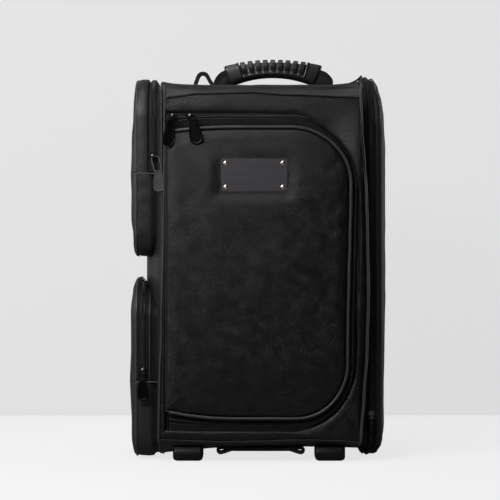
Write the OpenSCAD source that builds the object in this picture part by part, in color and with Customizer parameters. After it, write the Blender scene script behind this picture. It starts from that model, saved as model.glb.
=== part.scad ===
// Rolling cosmetic case: a padded body with a zipped D-shaped front door, two stacked arch
// pockets on its left flank, a zipped side compartment on its right flank, a ribbed carry
// handle, a telescopic trolley and two rear wheels. Millimetres, +Z up, front towards -Y.

/* [Body] */
// Width of the padded body between its two flanks
body_w = 293; // [275:1:320]
// Depth of the body from front panel to back panel
body_d = 230; // [222:1:250]
// Height of the body from its underside to its top
body_h = 531; // [525:1:560]
// Height of the body's underside above the floor
ground_gap = 20; // [18:1:24]
// Thickness of one padded board panel
panel_t = 7; // [5:0.5:8]
// Radius of the body's corners as seen from the front
body_corner_r = 9; // [7:1:14]
// Thickness of the sewn lining
lining_t = 1.2; // [0.8:0.1:1.6]
// How far the padded left flank stands out at its middle
flank_crown = 24; // [18:1:28]
// Distance of the left flank's padding from the body's front and back edges
pad_inset = 3; // [2:0.5:6]
// Distance of the left flank's padding from the body's top and underside
pad_rise = 10; // [8:1:14]
// Thickness of the left flank's padding along its upper and lower edges
pad_edge = 3; // [2:0.5:5]

/* [Interior] */
// Thickness of a padded shelf
shelf_t = 9; // [6:1:12]
// Height of the lower shelf above the body's underside
lower_shelf_rise = 170; // [140:1:200]
// Height of the upper shelf above the body's underside
upper_shelf_rise = 341; // [300:1:360]
// Distance of the shelves behind the front frame
shelf_gap = 3; // [2:0.5:6]
// Distance from the body's back face to the cover of the trolley space
trolley_space = 37; // [35:1:40]
// Thickness of the cover of the trolley space
cover_t = 2; // [1.5:0.5:3]

/* [Front door] */
// Distance of the door's hinge line from the body's left side
hinge_inset = 5; // [4:0.5:8]
// Distance of the door's free edge from the body's right side
door_side_gap = 19.5; // [19.5:0.5:34]
// Distance of the door's upper edge below the body's top
door_top_gap = 61; // [61:1:85]
// Height of the door panel's lower edge above the body's underside
door_rise = 44; // [42:1:48]
// Radius of the door's upper free corner
door_top_r = 85; // [60:1:90]
// Radius of the door's lower free corner
door_bottom_r = 78; // [60:1:90]
// How far the door's face stands out in front of the body
door_proud = 8; // [6:0.5:8]
// How far the door's puffed edge is drawn in at its face
door_draw = 12; // [8:1:16]
// Width of the zip band above the door
band_top = 23; // [20:1:26]
// Width of the zip band beside the door's free edge
band_side = 11.6; // [10:0.2:11.6]
// Width of the zip band below the door
band_bottom = 21; // [18:1:24]
// Distance of the front zip tape behind the body's front face
tape_recess = 2; // [1.5:0.5:3]
// Thickness of a zip tape
tape_t = 1.2; // [0.8:0.1:1.6]
// Distance of the door's lining from the door's edges
door_lining_inset = 3; // [2.5:0.5:6]
// Gap between the two halves of a zip
zip_gap = 0.5; // [0.4:0.1:1]
// Corner radius of the name plate
plate_r = 3; // [2:0.5:5]
// Width of the name plate
plate_w = 96; // [70:1:104]
// Height of the name plate
plate_h = 48; // [38:1:56]
// Thickness of the name plate
plate_t = 1.4; // [1:0.1:2]
// Distance of the name plate's middle from the body's middle, towards the hinge
plate_offset = 12; // [0:0.5:28]
// Height of the name plate's middle above the body's underside
plate_rise = 395.5; // [360:0.5:400]
// Radius of a plate rivet's head
rivet_r = 3.4; // [2.5:0.1:4]
// Height of a plate rivet's domed head
rivet_h = 1.7; // [1.2:0.1:2]
// Distance of a rivet's middle from the plate's edges
rivet_inset = 6.6; // [5:0.1:9]

/* [Flank pockets] */
// Width of a pocket from front to back
pocket_w = 190; // [176:1:196]
// How far the pockets stand out from the body's left side
pocket_reach = 49.5; // [47:0.5:54]
// Radius of a pocket's arched top corners
pocket_top_r = 60; // [45:1:80]
// Radius of a pocket's lower corners
pocket_bottom_r = 30; // [22:1:45]
// Height of the upper pocket's lower edge above the floor
upper_pocket_z = 303; // [298:1:306]
// Height of the upper pocket
upper_pocket_h = 258; // [240:1:260]
// Height of the upper pocket's zip above its lower edge
upper_seam_rise = 117; // [100:1:125]
// Distance of the upper pocket's zip line from the body's left side
upper_zip_out = 14; // [13:0.5:16]
// Height of the lower pocket's lower edge above the floor
lower_pocket_z = 4; // [3:1:10]
// Height of the lower pocket
lower_pocket_h = 270; // [240:1:272]
// Height of the lower pocket's zip above its lower edge
lower_seam_rise = 111; // [90:1:115]
// Distance of the lower pocket's zip line from the body's left side
lower_zip_out = 28.5; // [27:0.5:31]
// Width of half a flank zip tape
half_tape = 6; // [4:0.5:7]
// Thickness of a pocket's wall
pocket_wall = 3; // [2:0.5:3.5]
// Depth of the puffed edge of a flank face
puff_depth = 12; // [8:1:14]
// How far a flank face is drawn in by its puffed edge
puff_draw = 16; // [12:1:18]

/* [Side compartment] */
// Width of the side compartment from front to back
side_w = 190; // [180:1:200]
// Height of the side compartment's lower edge above the floor
side_z = 6; // [4:1:12]
// Height of the side compartment
side_h = 559; // [540:1:562]
// How far the side compartment stands out from the body's right side
side_reach = 37.5; // [35:0.5:42]
// Radius of the side compartment's upper corners
side_top_r = 75; // [72:1:85]
// Radius of the side compartment's lower corners
side_bottom_r = 40; // [30:1:55]
// Distance of the side compartment's zip line from the body's right side
side_zip_out = 13; // [12:0.5:15]

/* [Zip pulls] */
// Length of a zip slider along its zip
slider_l = 13; // [11:0.5:15]
// Width of a zip slider across its zip
slider_w = 9; // [8:0.5:10]
// Thickness of a zip slider's plate
slider_t = 3.4; // [3:0.1:3.4]
// Width of a slider's lug
lug_w = 3.4; // [3:0.1:4]
// Radius of a slider's lug round its eye
lug_r = 3; // [2.6:0.1:3.2]
// Radius of the eye through a slider's lug
eye_r = 1.5; // [1.3:0.1:1.7]
// Radius of a pull's wire link
wire_r = 0.9; // [0.7:0.1:1]
// Gap between a slider's lug and the wire link beside it
link_gap = 1.2; // [0.8:0.1:1.5]
// Least gap between the upper pocket's pull and the padded flank behind it
pull_gap = 1; // [0.8:0.1:2]
// Distance of a pull's eye in front of its slider's plate
eye_reach = 3.6; // [3.6:0.1:4.5]
// Extra reach of the front door's sliders over the door's edge
front_reach_extra = 4.8; // [4.8:0.1:6]
// Width of the front door's pull tabs
front_tab_w = 19; // [16:0.5:20]
// Length of the front door's pull tabs
front_tab_l = 35; // [28:1:38]
// Width of the flank pull tabs
flank_tab_w = 15; // [12:0.5:17]
// Length of the flank pull tabs
flank_tab_l = 30; // [24:1:30]
// Thickness of a pull tab
tab_t = 2.6; // [2:0.1:2.6]
// Length of a front pull's wire link
front_link = 6.5; // [6:0.5:8]
// Length of the upper pocket pull's wire link
upper_link = 21; // [16:1:22]
// Length of the lower pocket pull's wire link
lower_link = 15; // [12:1:16]
// Length of the side compartment pull's wire link
side_link = 8; // [7:0.5:10]
// Distance of the first front slider from the door's hinge line
first_slider = 11; // [10:0.5:12]
// Distance between the two front sliders
slider_pitch = 25.5; // [22:0.5:30]
// Height of the upper pocket's slider above the pocket's seam
upper_slider_rise = 24; // [20:1:28]
// Height of the lower pocket's slider above the pocket's seam
lower_slider_rise = 17; // [14:1:20]
// Height of the side compartment's slider above the zip's lower bend
side_slider_rise = 20; // [10:1:24]

/* [Carry handle] */
// Distance of the handle's middle from the body's middle, towards the right
handle_offset = 16.5; // [0:0.5:20]
// Distance between the handle's two pivots
handle_span = 182; // [170:1:186]
// Length of the moulded grip
grip_l = 145; // [130:1:148]
// Height of the grip's section
grip_h = 27; // [22:0.5:28]
// Width of the grip's section from front to back
grip_w = 23; // [20:0.5:24]
// Corner radius of the grip's section
grip_edge_r = 8; // [6:0.5:9]
// Radius of the grip's arched top
grip_r = 180; // [165:1:200]
// Height of the grip's top above the body's top
grip_rise = 44; // [42:1:48]
// Number of ribs across the grip
rib_count = 9; // [5:1:11]
// Distance between two ribs along the grip's top
rib_pitch = 11.6; // [10:0.1:12.5]
// Width of a rib
rib_w = 4.4; // [3:0.1:6]
// How far a rib stands out
rib_h = 1.5; // [1:0.1:2]
// Height of the handle's pivots above the body's top
pivot_rise = 7; // [7:0.5:8]
// Radius of the folded webbing at a pivot
pivot_r = 3; // [2.5:0.1:3]
// Width of a sewn handle patch
anchor_w = 14; // [12:1:16]
// Depth of a sewn handle patch from front to back
anchor_d = 26; // [22:1:30]
// Width of the handle's webbing
webbing_w = 20; // [16:1:22]
// Thickness of webbing
webbing_t = 2.6; // [2:0.1:3]

/* [Loops and straps] */
// Width of a shoulder strap loop at its foot
loop_w = 32; // [26:1:34]
// Height of a shoulder strap loop
loop_h = 27; // [22:1:30]
// Distance of the shoulder strap loops behind the body's middle
loop_back = 52; // [48:1:56]
// Mean distance of the loops' middles from the body's sides
loop_inset = 39.5; // [38.5:0.5:42.5]
// Width of a loop's webbing
loop_webbing_w = 12; // [8:1:14]
// Radius of a loop's arch as a share of its width at its foot
loop_arch_share = 0.36; // [0.3:0.01:0.42]
// How far the right loop's tip leans past its middle
loop_lean = 28; // [20:0.5:29]
// Distance of the right loop's bend past its middle
loop_bend = 20; // [12:0.5:22]
// Height of the right loop's bend above the body's top
loop_bend_rise = 17; // [14:0.5:20]
// Length of the grab strap under the body
strap_l = 125; // [100:1:140]
// Drop of the grab strap below the body's underside
strap_drop = 9; // [8:0.5:10]
// Length of the grab strap's sewn end
strap_end = 10; // [8:0.5:14]
// Distance of the grab strap's middle from the body's middle, towards the left
strap_offset = 2.5; // [0:0.5:6]
// Width of the grab strap
strap_w = 25; // [20:1:30]
// Distance of the grab strap behind the body's front face
strap_back = 10; // [8:1:16]

/* [Feet and wheels] */
// Width of a front foot
foot_w = 44; // [36:1:48]
// Depth of a front foot
foot_d = 38; // [30:1:44]
// Corner radius of a front foot
foot_r = 5; // [3:0.5:8]
// Mean distance of the feet's middles from the body's sides
foot_inset = 42.5; // [38:0.5:50]
// Distance of the feet's middle from the body's middle, towards the left
foot_offset = 5; // [0:0.5:8]
// Distance of the feet behind the body's front face
foot_back = 3; // [2:1:6]
// Radius of a wheel
wheel_r = 24; // [22:0.5:25]
// Width of a wheel
wheel_w = 20; // [16:1:21]
// Radius of a wheel's hub
hub_r = 16; // [13:0.5:18]
// Distance of each wheel's middle from the body's side
wheel_inset = 33.5; // [28.5:0.5:38.5]
// Distance of the wheels' axles from the body's back face
axle_inset = 7.5; // [6:0.5:9]
// Radius of a wheel's axle
axle_r = 3; // [2.5:0.1:4]
// Radial clearance of a hub on its axle
axle_fit = 0.05; // [0.03:0.01:0.08]
// Width of a wheel housing
housing_w = 38; // [34:1:40]
// Thickness of a wheel housing's cheeks
cheek_t = 5; // [4:0.5:6]
// Height of a wheel housing's lower edge above the floor
housing_z = 9; // [8:1:12]
// Gap between a wheel and its housing
wheel_gap = 2; // [1.5:0.5:2.5]

/* [Trolley] */
// Distance between the trolley's two tubes
tube_pitch = 140; // [120:1:150]
// Outer radius of the fixed tubes
tube_r = 9; // [8.5:0.1:9.5]
// Wall of every trolley tube
tube_wall = 1; // [0.8:0.1:1.1]
// Radial gap between one tube and the next
tube_gap = 0.3; // [0.2:0.05:0.4]
// Distance of the tubes from the body's back face
tube_inset = 18; // [17:0.5:19]
// Width of the trolley's bezel in the body's top
bezel_w = 190; // [180:1:200]
// Depth of the bezel from front to back
bezel_d = 32; // [31:0.5:33]
// Height of the bezel below the body's top
bezel_h = 30; // [28:1:34]
// Wall of the bezel
bezel_wall = 3; // [2.5:0.5:3.5]
// Distance of the bezel from the body's back face
bezel_inset = 2; // [1.5:0.5:2.5]
// How far the bezel stands above the body's top
bezel_proud = 2; // [1:0.5:3]
// How far the trolley grip stands above the body's top
trolley_grip_rise = 14; // [12:0.5:16]
// Thickness of the trolley grip's bar
trolley_bar = 16; // [14:0.5:17]
// Height of the trolley grip's legs below its bar
trolley_leg = 15; // [14:0.5:16]
// Gap between the trolley grip and the bezel on each side
trolley_grip_gap = 4; // [3:0.5:5]
// Height of the bracket that holds the tubes' feet
bracket_h = 18; // [12:1:24]
// How far the bracket reaches past the fixed tubes
bracket_rim = 4; // [2:0.5:6]
// Wall of a grip leg beside its tube
trolley_leg_wall = 3; // [2:0.5:4]
// Corner radius of the trolley grip
trolley_grip_r = 5; // [3:0.5:6]
// Height by which each inner tube's foot stands above the one round it
tube_step = 4; // [3:0.5:6]
// Width of the trolley grip from front to back
trolley_grip_d = 20; // [18:0.5:22]
// Length of the release button
button_l = 26; // [20:1:32]
// Width of the release button
button_w = 10; // [8:0.5:12]
// How far the release button stands up
button_rise = 2; // [1.5:0.1:2.5]
// Depth of the release button's seat
button_seat = 8; // [7:0.5:9]
// Travel of the release button
button_travel = 3; // [2:0.5:3]
// Gap round the release button
button_gap = 0.4; // [0.3:0.05:0.6]

/* [Hidden] */
$fn = 64;
// Number of sides of the circles inside a puffed form
soft_fn = 40;
// Steps of a puffed form round each of its corners
soft_steps = 8;
// Number of sides of the very large circles of the crowned flank
crown_fn = 720;
// Seat clearance between pieces that touch on different bodies
seat = 0.3;
// A cut's run past the faces that it opens
past = 1;
// Thickness of the layers that a puffed form is drawn over
layer = 0.2;
// Shares of the door's rise at the top of its upright rim and at its puffed shoulder
door_rim_share = 0.35;
door_shoulder_share = 0.8;
// Share of the door's draw at its puffed shoulder
door_shoulder_draw = 0.35;
// A flank face's puffed edge: shares of its depth below the face, each with its share of the draw
puff_steps = [[0.45, 0.2], [0.15, 0.55]];
// Ratio of a link's side bars to its wire's width
link_swell = 1.1;
// Ratio of the webbing to the folded webbing at a pivot
strap_pinch = 0.6;
// Share of a wheel well's radius that is open above the axle, at the back
well_open_share = 0.6;

half_w = body_w / 2;
half_d = body_d / 2;
body_z = ground_gap;
body_top = ground_gap + body_h;
inner_z = body_z + panel_t;
inner_top = body_top - panel_t;
inner_w = half_w - panel_t;
front_y = -half_d;
frame_back = front_y + panel_t;
back_y = half_d;
cover_y = back_y - trolley_space;

hinge_x = -half_w + hinge_inset;
door_x = half_w - door_side_gap;
door_z = body_z + door_rise;
door_top = body_top - door_top_gap;
door_face = front_y - door_proud;
tape_y = front_y + tape_recess;
band_mid_z = door_top + band_top / 2;

pocket_face = half_w + pocket_reach;
side_face = half_w + side_reach;
upper_seam = upper_pocket_z + upper_seam_rise;
lower_seam = lower_pocket_z + lower_seam_rise;
upper_zip = half_w + upper_zip_out;
lower_zip = half_w + lower_zip_out;
side_zip = half_w + side_zip_out;

// A flank form: width, lower edge, upper edge, lower radius, upper radius
upper_form = [pocket_w, upper_pocket_z, upper_pocket_z + upper_pocket_h, pocket_bottom_r, pocket_top_r];
lower_form = [pocket_w, lower_pocket_z, lower_pocket_z + lower_pocket_h, pocket_bottom_r, pocket_top_r];
side_form = [side_w, side_z, side_z + side_h, side_bottom_r, side_top_r];

front_eye_reach = eye_reach + front_reach_extra;
flank_zip_y = -pocket_w / 2 - tape_t;
pull_back = -flank_zip_y + seat + slider_t + eye_reach - tab_t / 2;
side_zip_y = -side_w / 2 - tape_t;
upper_eye_z = upper_seam + upper_slider_rise;
lower_eye_z = lower_seam + lower_slider_rise;
side_eye_z = side_z + side_bottom_r + side_slider_rise;

pivot_z = body_top + pivot_rise;
grip_top = body_top + grip_rise;
grip_axis_z = grip_top - grip_r;
grip_angle = asin(grip_l / 2 / grip_r);
loop_side = half_w - loop_inset;
foot_pitch = body_w - 2 * foot_inset;
wheel_pitch = body_w - 2 * wheel_inset;

tube_y = back_y - tube_inset;
bezel_y = back_y - bezel_inset - bezel_d;
bezel_z = body_top - bezel_h;
bezel_top = body_top + bezel_proud;
mid_r = tube_r - tube_wall - tube_gap;
inner_r = mid_r - tube_wall - tube_gap;
grip_bar_top = body_top + trolley_grip_rise;
grip_bar_z = grip_bar_top - trolley_bar;
grip_leg_z = grip_bar_z - trolley_leg;
trolley_grip_l = bezel_w - 2 * (bezel_wall + trolley_grip_gap);

wheel_y = back_y - axle_inset;
housing_y = cover_y + cover_t;
housing_back = wheel_y + wheel_r;
housing_top = wheel_r * 2 + wheel_gap + cheek_t;

// How far the model reaches from the body's middle on each side
left_reach = pocket_face;
right_reach = side_face;
front_reach = -tape_y + seat + slider_t + front_eye_reach + lug_r;
back_reach = housing_back;
shift = [(left_reach - right_reach) / 2, (front_reach - back_reach) / 2, 0];

// Colours of the real materials
saffiano = [0.13, 0.125, 0.13];
leather = [0.11, 0.105, 0.11];
webbing = [0.07, 0.07, 0.075];
tape = [0.06, 0.06, 0.065];
plastic = [0.09, 0.09, 0.1];
zip_metal = [0.12, 0.12, 0.13];
plate_grey = [0.28, 0.27, 0.29];
lining_grey = [0.2, 0.2, 0.21];
rubber = [0.05, 0.05, 0.055];
steel = [0.7, 0.7, 0.72];
alloy = [0.62, 0.63, 0.65];

// Shared shapes

// A rectangle between two corners with four radii: lower left, lower right, upper right, upper left
module rounded(low, high, r) {
    corners = [
        [low.x + r[0], low.y + r[0]], [high.x - r[1], low.y + r[1]],
        [high.x - r[2], high.y - r[2]], [low.x + r[3], high.y - r[3]]
    ];
    polygon([
        [low.x + r[0], low.y], [high.x - r[1], low.y], [high.x, low.y + r[1]], [high.x, high.y - r[2]],
        [high.x - r[2], high.y], [low.x + r[3], high.y], [low.x, high.y - r[3]], [low.x, low.y + r[0]]
    ]);
    for (i = [0:3])
        if (r[i] > 0)
            translate(corners[i]) circle(r = r[i]);
}

// Extrudes an outline drawn in (y, z) along x
module along_x(from, to) {
    translate([min(from, to), 0, 0]) rotate([90, 0, 90]) linear_extrude(abs(to - from)) children();
}

// Extrudes an outline drawn in (x, z) along y
module along_y(from, to) {
    translate([0, to, 0]) rotate([90, 0, 0]) linear_extrude(to - from) children();
}

// A block between two corners
module block(low, high) {
    translate(low) cube(high - low);
}

// A round bar along x
module bar_x(from, to, y, z, r) {
    translate([from, y, z]) rotate([0, 90, 0]) cylinder(h = to - from, r = r);
}

// An upright tube, open at both ends
module tube(x, y, from, to, r) {
    translate([x, y, from]) difference() {
        cylinder(h = to - from, r = r);
        translate([0, 0, -past]) cylinder(h = to - from + 2 * past, r = r - tube_wall);
    }
}

// Sets the body's middle so that the whole case is centred
module placed() {
    translate(shift) children();
}

// The body's outline seen from the front
module body_outline() {
    r = body_corner_r;
    rounded([-half_w, body_z], [half_w, body_top], [r, r, r, r]);
}

// A board panel: the part of the body's block between two corners
module panel(low, high) {
    intersection() {
        block(low, high);
        along_y(front_y, back_y) body_outline();
    }
}

// The door's outline; grow runs from 0 at the door's edge to 1 at the frame's edge
module door_outline(grow, inset = 0) {
    right = door_x + grow * band_side - inset;
    top = door_top + grow * band_top - inset;
    bottom = door_z - grow * band_bottom + inset;
    top_r = door_top_r + grow * band_side - inset;
    bottom_r = door_bottom_r + grow * band_side - inset;
    left = hinge_x + (grow < 1 ? zip_gap : 0) + inset;
    rounded([left, bottom], [right, top], [0, bottom_r, top_r, 0]);
}

// A flank form's outline in (y, z), drawn in by inset
module flank_outline(form, inset) {
    half = form[0] / 2 - inset;
    low_r = form[3] - inset;
    high_r = form[4] - inset;
    rounded([-half, form[1] + inset], [half, form[2] - inset], [low_r, low_r, high_r, high_r]);
}

// A quarter circle of points round a middle, starting at an angle
function quarter(middle, r, from) =
    [for (i = [0:soft_steps]) let(a = from + 90 * i / soft_steps) middle + r * [cos(a), sin(a)]];

// Points round a flank form in (y, z), drawn in by inset, anticlockwise as seen from +X
function flank_ring(form, inset) =
    let(
        half = form[0] / 2 - inset, low = form[1] + inset, high = form[2] - inset,
        low_r = form[3] - inset, high_r = form[4] - inset
    )
    concat(
        quarter([half - low_r, low + low_r], low_r, 270),
        quarter([half - high_r, high - high_r], high_r, 0),
        quarter([high_r - half, high - high_r], high_r, 90),
        quarter([low_r - half, low + low_r], low_r, 180)
    );

// A closed skin over rings of a flank form; levels are [x, inset] in rising x
module flank_loft(form, levels) {
    rings = [for (level = levels) flank_ring(form, level[1])];
    count = len(rings[0]);
    last = (len(levels) - 1) * count;
    points = [for (k = [0:len(levels) - 1]) for (p = rings[k]) [levels[k][0], p.x, p.y]];
    walls = [
        for (k = [0:len(levels) - 2])
            for (i = [0:count - 1])
                let(a = k * count + i, b = k * count + (i + 1) % count, c = a + count, d = b + count)
                    for (face = [[a, c, d], [a, d, b]]) face
    ];
    near_cap = [for (i = [0:count - 1]) i];
    far_cap = [for (i = [count - 1:-1:0]) last + i];
    polyhedron(points = points, faces = concat(walls, [near_cap, far_cap]));
}

// A flank form with a puffed outer face, from the body's side at root to face, on side -1 or 1
module flank_lump(form, side, root, face, inset) {
    levels = [
        [root, inset],
        [face - puff_depth, inset],
        for (step = puff_steps) [face - puff_depth * step[0], inset + puff_draw * step[1]],
        [face, inset + puff_draw]
    ];
    last = len(levels) - 1;
    flank_loft(form, side > 0 ? levels : [for (i = [last:-1:0]) [-levels[i][0], levels[i][1]]]);
}

// A flank form as a hollow shell with a back sheet
module flank_shell(form, side, face) {
    difference() {
        flank_lump(form, side, half_w, face, 0);
        flank_lump(form, side, half_w + cover_t, face - pocket_wall, pocket_wall);
    }
}

// A zip tape laid over a flank form between two distances from the body, above from
module flank_tape(form, side, near, far, from) {
    intersection() {
        difference() {
            along_x(side * near, side * far) flank_outline(form, -tape_t);
            along_x(side * (near - past), side * (far + past)) flank_outline(form, 0);
        }
        block([-2 * half_w, -body_d, from], [2 * half_w, body_d, 2 * body_top]);
    }
}

// The crowned form of the padding on the left flank, which falls away behind the upper pocket's pull
module flank_crown_form() {
    pad_d = body_d - 2 * pad_inset;
    pad_z = body_z + pad_rise;
    pad_top = body_top - pad_rise;
    plan_sag = flank_crown - upper_zip_out + flank_tab_w / 2 + pull_gap;
    rise_sag = flank_crown - pad_edge;
    plan_r = (pow(pull_back, 2) + pow(plan_sag, 2)) / (2 * plan_sag);
    rise_r = (pow((pad_top - pad_z) / 2, 2) + pow(rise_sag, 2)) / (2 * rise_sag);
    intersection() {
        block([-half_w - flank_crown - past, -pad_d / 2, pad_z], [-half_w, pad_d / 2, pad_top]);
        translate([-half_w - flank_crown + plan_r, 0, pad_z - past])
            cylinder(h = pad_top - pad_z + 2 * past, r = plan_r, $fn = crown_fn);
        translate([-half_w - flank_crown + rise_r, pad_d, (pad_z + pad_top) / 2])
            rotate([90, 0, 0]) cylinder(h = 2 * pad_d, r = rise_r, $fn = crown_fn);
    }
}

// A zip slider on a tape face at y, with its lug's eye at height z
module slider(x, y, z, along, reach) {
    plate_y = y - seat - slider_t;
    size_x = along == "x" ? slider_l : slider_w;
    size_z = along == "x" ? slider_w : slider_l;
    end_r = slider_w / 2 - 0.5;
    low = [x - size_x / 2, z - size_z / 2];
    high = [x + size_x / 2, z + size_z / 2];
    front = plate_y - reach;
    color(zip_metal) difference() {
        union() {
            along_y(plate_y, plate_y + slider_t) rounded(low, high, [end_r, end_r, end_r, end_r]);
            block([x - lug_w / 2, front, z - lug_r], [x + lug_w / 2, plate_y + slider_t / 2, z + lug_r]);
            bar_x(x - lug_w / 2, x + lug_w / 2, front, z, lug_r);
        }
        bar_x(x - lug_w, x + lug_w, front, z, eye_r);
    }
}

// A pull hanging from a slider's eye: a wire link and a flared tab with a round end
module pull(x, y, z, link, tab_w, tab_l, reach) {
    eye_y = y - seat - slider_t - reach;
    wire_x = lug_w / 2 + link_gap + wire_r;
    wire_side = 2 * link_swell * wire_r;
    neck_w = 2 * (wire_x + wire_r);
    tab_z = z - link;
    color(zip_metal) {
        bar_x(x - wire_x, x + wire_x, eye_y, z, wire_r);
        for (s = [-1, 1])
            block(
                [x + s * wire_x - wire_r, eye_y - wire_side / 2, tab_z - past],
                [x + s * wire_x + wire_r, eye_y + wire_side / 2, z + wire_side / 2]
            );
        along_y(eye_y - tab_t / 2, eye_y + tab_t / 2) {
            translate([x, tab_z - tab_l + tab_w / 2]) circle(r = tab_w / 2);
            polygon([
                [x - neck_w / 2, tab_z], [x - tab_w / 2, tab_z - tab_l + tab_w / 2],
                [x + tab_w / 2, tab_z - tab_l + tab_w / 2], [x + neck_w / 2, tab_z]
            ]);
        }
    }
}

// A wheel housing open below and behind, round the wheel at x
module wheel_housing(x) {
    well_r = wheel_r + wheel_gap;
    well_w = wheel_w / 2 + wheel_gap;
    color(plastic) difference() {
        block([x - housing_w / 2, housing_y, housing_z], [x + housing_w / 2, housing_back, housing_top]);
        bar_x(x - well_w, x + well_w, wheel_y, wheel_r, well_r);
        block([x - well_w, wheel_y - well_r, housing_z - past], [x + well_w, housing_back + past, wheel_r]);
        block(
            [x - well_w, wheel_y, wheel_r - past],
            [x + well_w, housing_back + past, wheel_r + well_r * well_open_share]
        );
        bar_x(x - housing_w, x + housing_w, wheel_y, wheel_r, axle_r);
    }
}

// Room for both wheel housings, cut out of the body's panels
module housing_room() {
    for (s = [-1, 1])
        block(
            [s * wheel_pitch / 2 - housing_w / 2, housing_y, body_z - past],
            [s * wheel_pitch / 2 + housing_w / 2, back_y + past, housing_top]
        );
}

// The bezel's outer block, cut out of the top panel and lining
module bezel_room() {
    block([-bezel_w / 2, bezel_y, bezel_z], [bezel_w / 2, bezel_y + bezel_d, bezel_top + past]);
}

// Body

module base_panel() {
    color(leather) difference() {
        panel([-half_w, frame_back, body_z], [half_w, back_y, inner_z]);
        housing_room();
    }
}

module top_panel() {
    color(leather) difference() {
        panel([-half_w, frame_back, inner_top], [half_w, back_y, body_top]);
        bezel_room();
    }
}

module back_panel() {
    color(saffiano) difference() {
        panel([-half_w, back_y - panel_t, inner_z], [half_w, back_y, inner_top]);
        housing_room();
        bezel_room();
    }
}

module left_side_panel() {
    color(leather) panel([-half_w, frame_back, inner_z], [-inner_w, back_y - panel_t, inner_top]);
}

module right_side_panel() {
    color(leather) panel([inner_w, frame_back, inner_z], [half_w, back_y - panel_t, inner_top]);
}

module front_frame() {
    color(saffiano) difference() {
        panel([-half_w, front_y, body_z], [half_w, frame_back, body_top]);
        along_y(front_y - past, frame_back + past) door_outline(1);
    }
}

module front_zip_outer() {
    color(tape) difference() {
        along_y(tape_y, tape_y + tape_t) door_outline(1);
        along_y(tape_y - past, tape_y + tape_t + past) {
            door_outline(0.5);
            translate([-past, 0]) door_outline(0.5);
        }
    }
}

module main_lining() {
    low = [-inner_w, frame_back, inner_z];
    high = [inner_w, cover_y, inner_top];
    wall = [lining_t, 0, lining_t];
    color(lining_grey) difference() {
        block(low, high);
        block(low + wall - [0, past, 0], high - wall - [0, lining_t, 0]);
    }
}

module shelf(rise) {
    edge = inner_w - lining_t;
    color(lining_grey)
        block(
            [-edge, frame_back + shelf_gap, body_z + rise],
            [edge, cover_y - lining_t, body_z + rise + shelf_t]
        );
}

module lower_shelf() {
    shelf(lower_shelf_rise);
}

module upper_shelf() {
    shelf(upper_shelf_rise);
}

module left_flank_pad() {
    color(leather) flank_crown_form();
}

// Pockets and side compartment

module pocket_body(form, zip, seam) {
    color(leather) difference() {
        flank_shell(form, -1, pocket_face);
        flank_crown_form();
        block([-pocket_face - past, -pocket_w, seam], [-zip, pocket_w, form[2] + past]);
    }
}

module pocket_flap(form, zip, seam) {
    color(leather) intersection() {
        flank_shell(form, -1, pocket_face);
        block([-pocket_face - past, -pocket_w, seam + zip_gap], [-zip - zip_gap, pocket_w, form[2] + past]);
    }
}

module upper_pocket_body() {
    pocket_body(upper_form, upper_zip, upper_seam);
}

module lower_pocket_body() {
    pocket_body(lower_form, lower_zip, lower_seam);
}

module upper_flap() {
    pocket_flap(upper_form, upper_zip, upper_seam);
}

module lower_flap() {
    pocket_flap(lower_form, lower_zip, lower_seam);
}

module upper_pocket_zip() {
    color(tape) difference() {
        flank_tape(upper_form, -1, upper_zip - half_tape, upper_zip, upper_seam);
        flank_crown_form();
    }
}

module upper_flap_zip() {
    color(tape) flank_tape(upper_form, -1, upper_zip + zip_gap, upper_zip + half_tape, upper_seam + zip_gap);
}

module lower_pocket_zip() {
    color(tape) difference() {
        flank_tape(lower_form, -1, lower_zip - half_tape, lower_zip, lower_seam);
        flank_crown_form();
    }
}

module lower_flap_zip() {
    color(tape) flank_tape(lower_form, -1, lower_zip + zip_gap, lower_zip + half_tape, lower_seam + zip_gap);
}

module side_compartment_body() {
    color(leather) intersection() {
        flank_shell(side_form, 1, side_face);
        block([half_w, -side_w, 0], [side_zip, side_w, 2 * body_top]);
    }
}

module side_door_shell() {
    color(leather) intersection() {
        flank_shell(side_form, 1, side_face);
        block([side_zip + zip_gap, -side_w, 0], [side_face + past, side_w, 2 * body_top]);
    }
}

// The tape stops short of the hinge side, where the door turns
module side_tape(near, far) {
    color(tape) intersection() {
        flank_tape(side_form, 1, near, far, 0);
        block([half_w, -side_w, 0], [side_face, side_w / 2 - side_top_r, 2 * body_top]);
    }
}

module side_compartment_zip() {
    side_tape(side_zip - half_tape, side_zip);
}

module side_door_zip() {
    side_tape(side_zip + zip_gap, side_zip + half_tape);
}

// Front door

module front_door_panel() {
    rim_y = front_y - door_proud * door_rim_share;
    color(saffiano) {
        along_y(rim_y, tape_y) door_outline(0);
        hull() {
            along_y(rim_y - layer, rim_y) door_outline(0, $fn = soft_fn);
            along_y(front_y - door_proud * door_shoulder_share, rim_y)
                door_outline(0, door_draw * door_shoulder_draw, $fn = soft_fn);
            along_y(door_face, rim_y) door_outline(0, door_draw, $fn = soft_fn);
        }
    }
}

module front_door_lining() {
    color(lining_grey) along_y(tape_y, tape_y + lining_t) door_outline(0, door_lining_inset);
}

module front_zip_inner() {
    color(tape) along_y(tape_y, tape_y + tape_t) difference() {
        door_outline(0.5, zip_gap);
        translate([-past, 0]) door_outline(0, zip_gap);
    }
}

module name_plate() {
    x = -plate_offset;
    z = body_z + plate_rise;
    r = plate_r;
    color(plate_grey) along_y(door_face - plate_t, door_face)
        rounded([x - plate_w / 2, z - plate_h / 2], [x + plate_w / 2, z + plate_h / 2], [r, r, r, r]);
}

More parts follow.
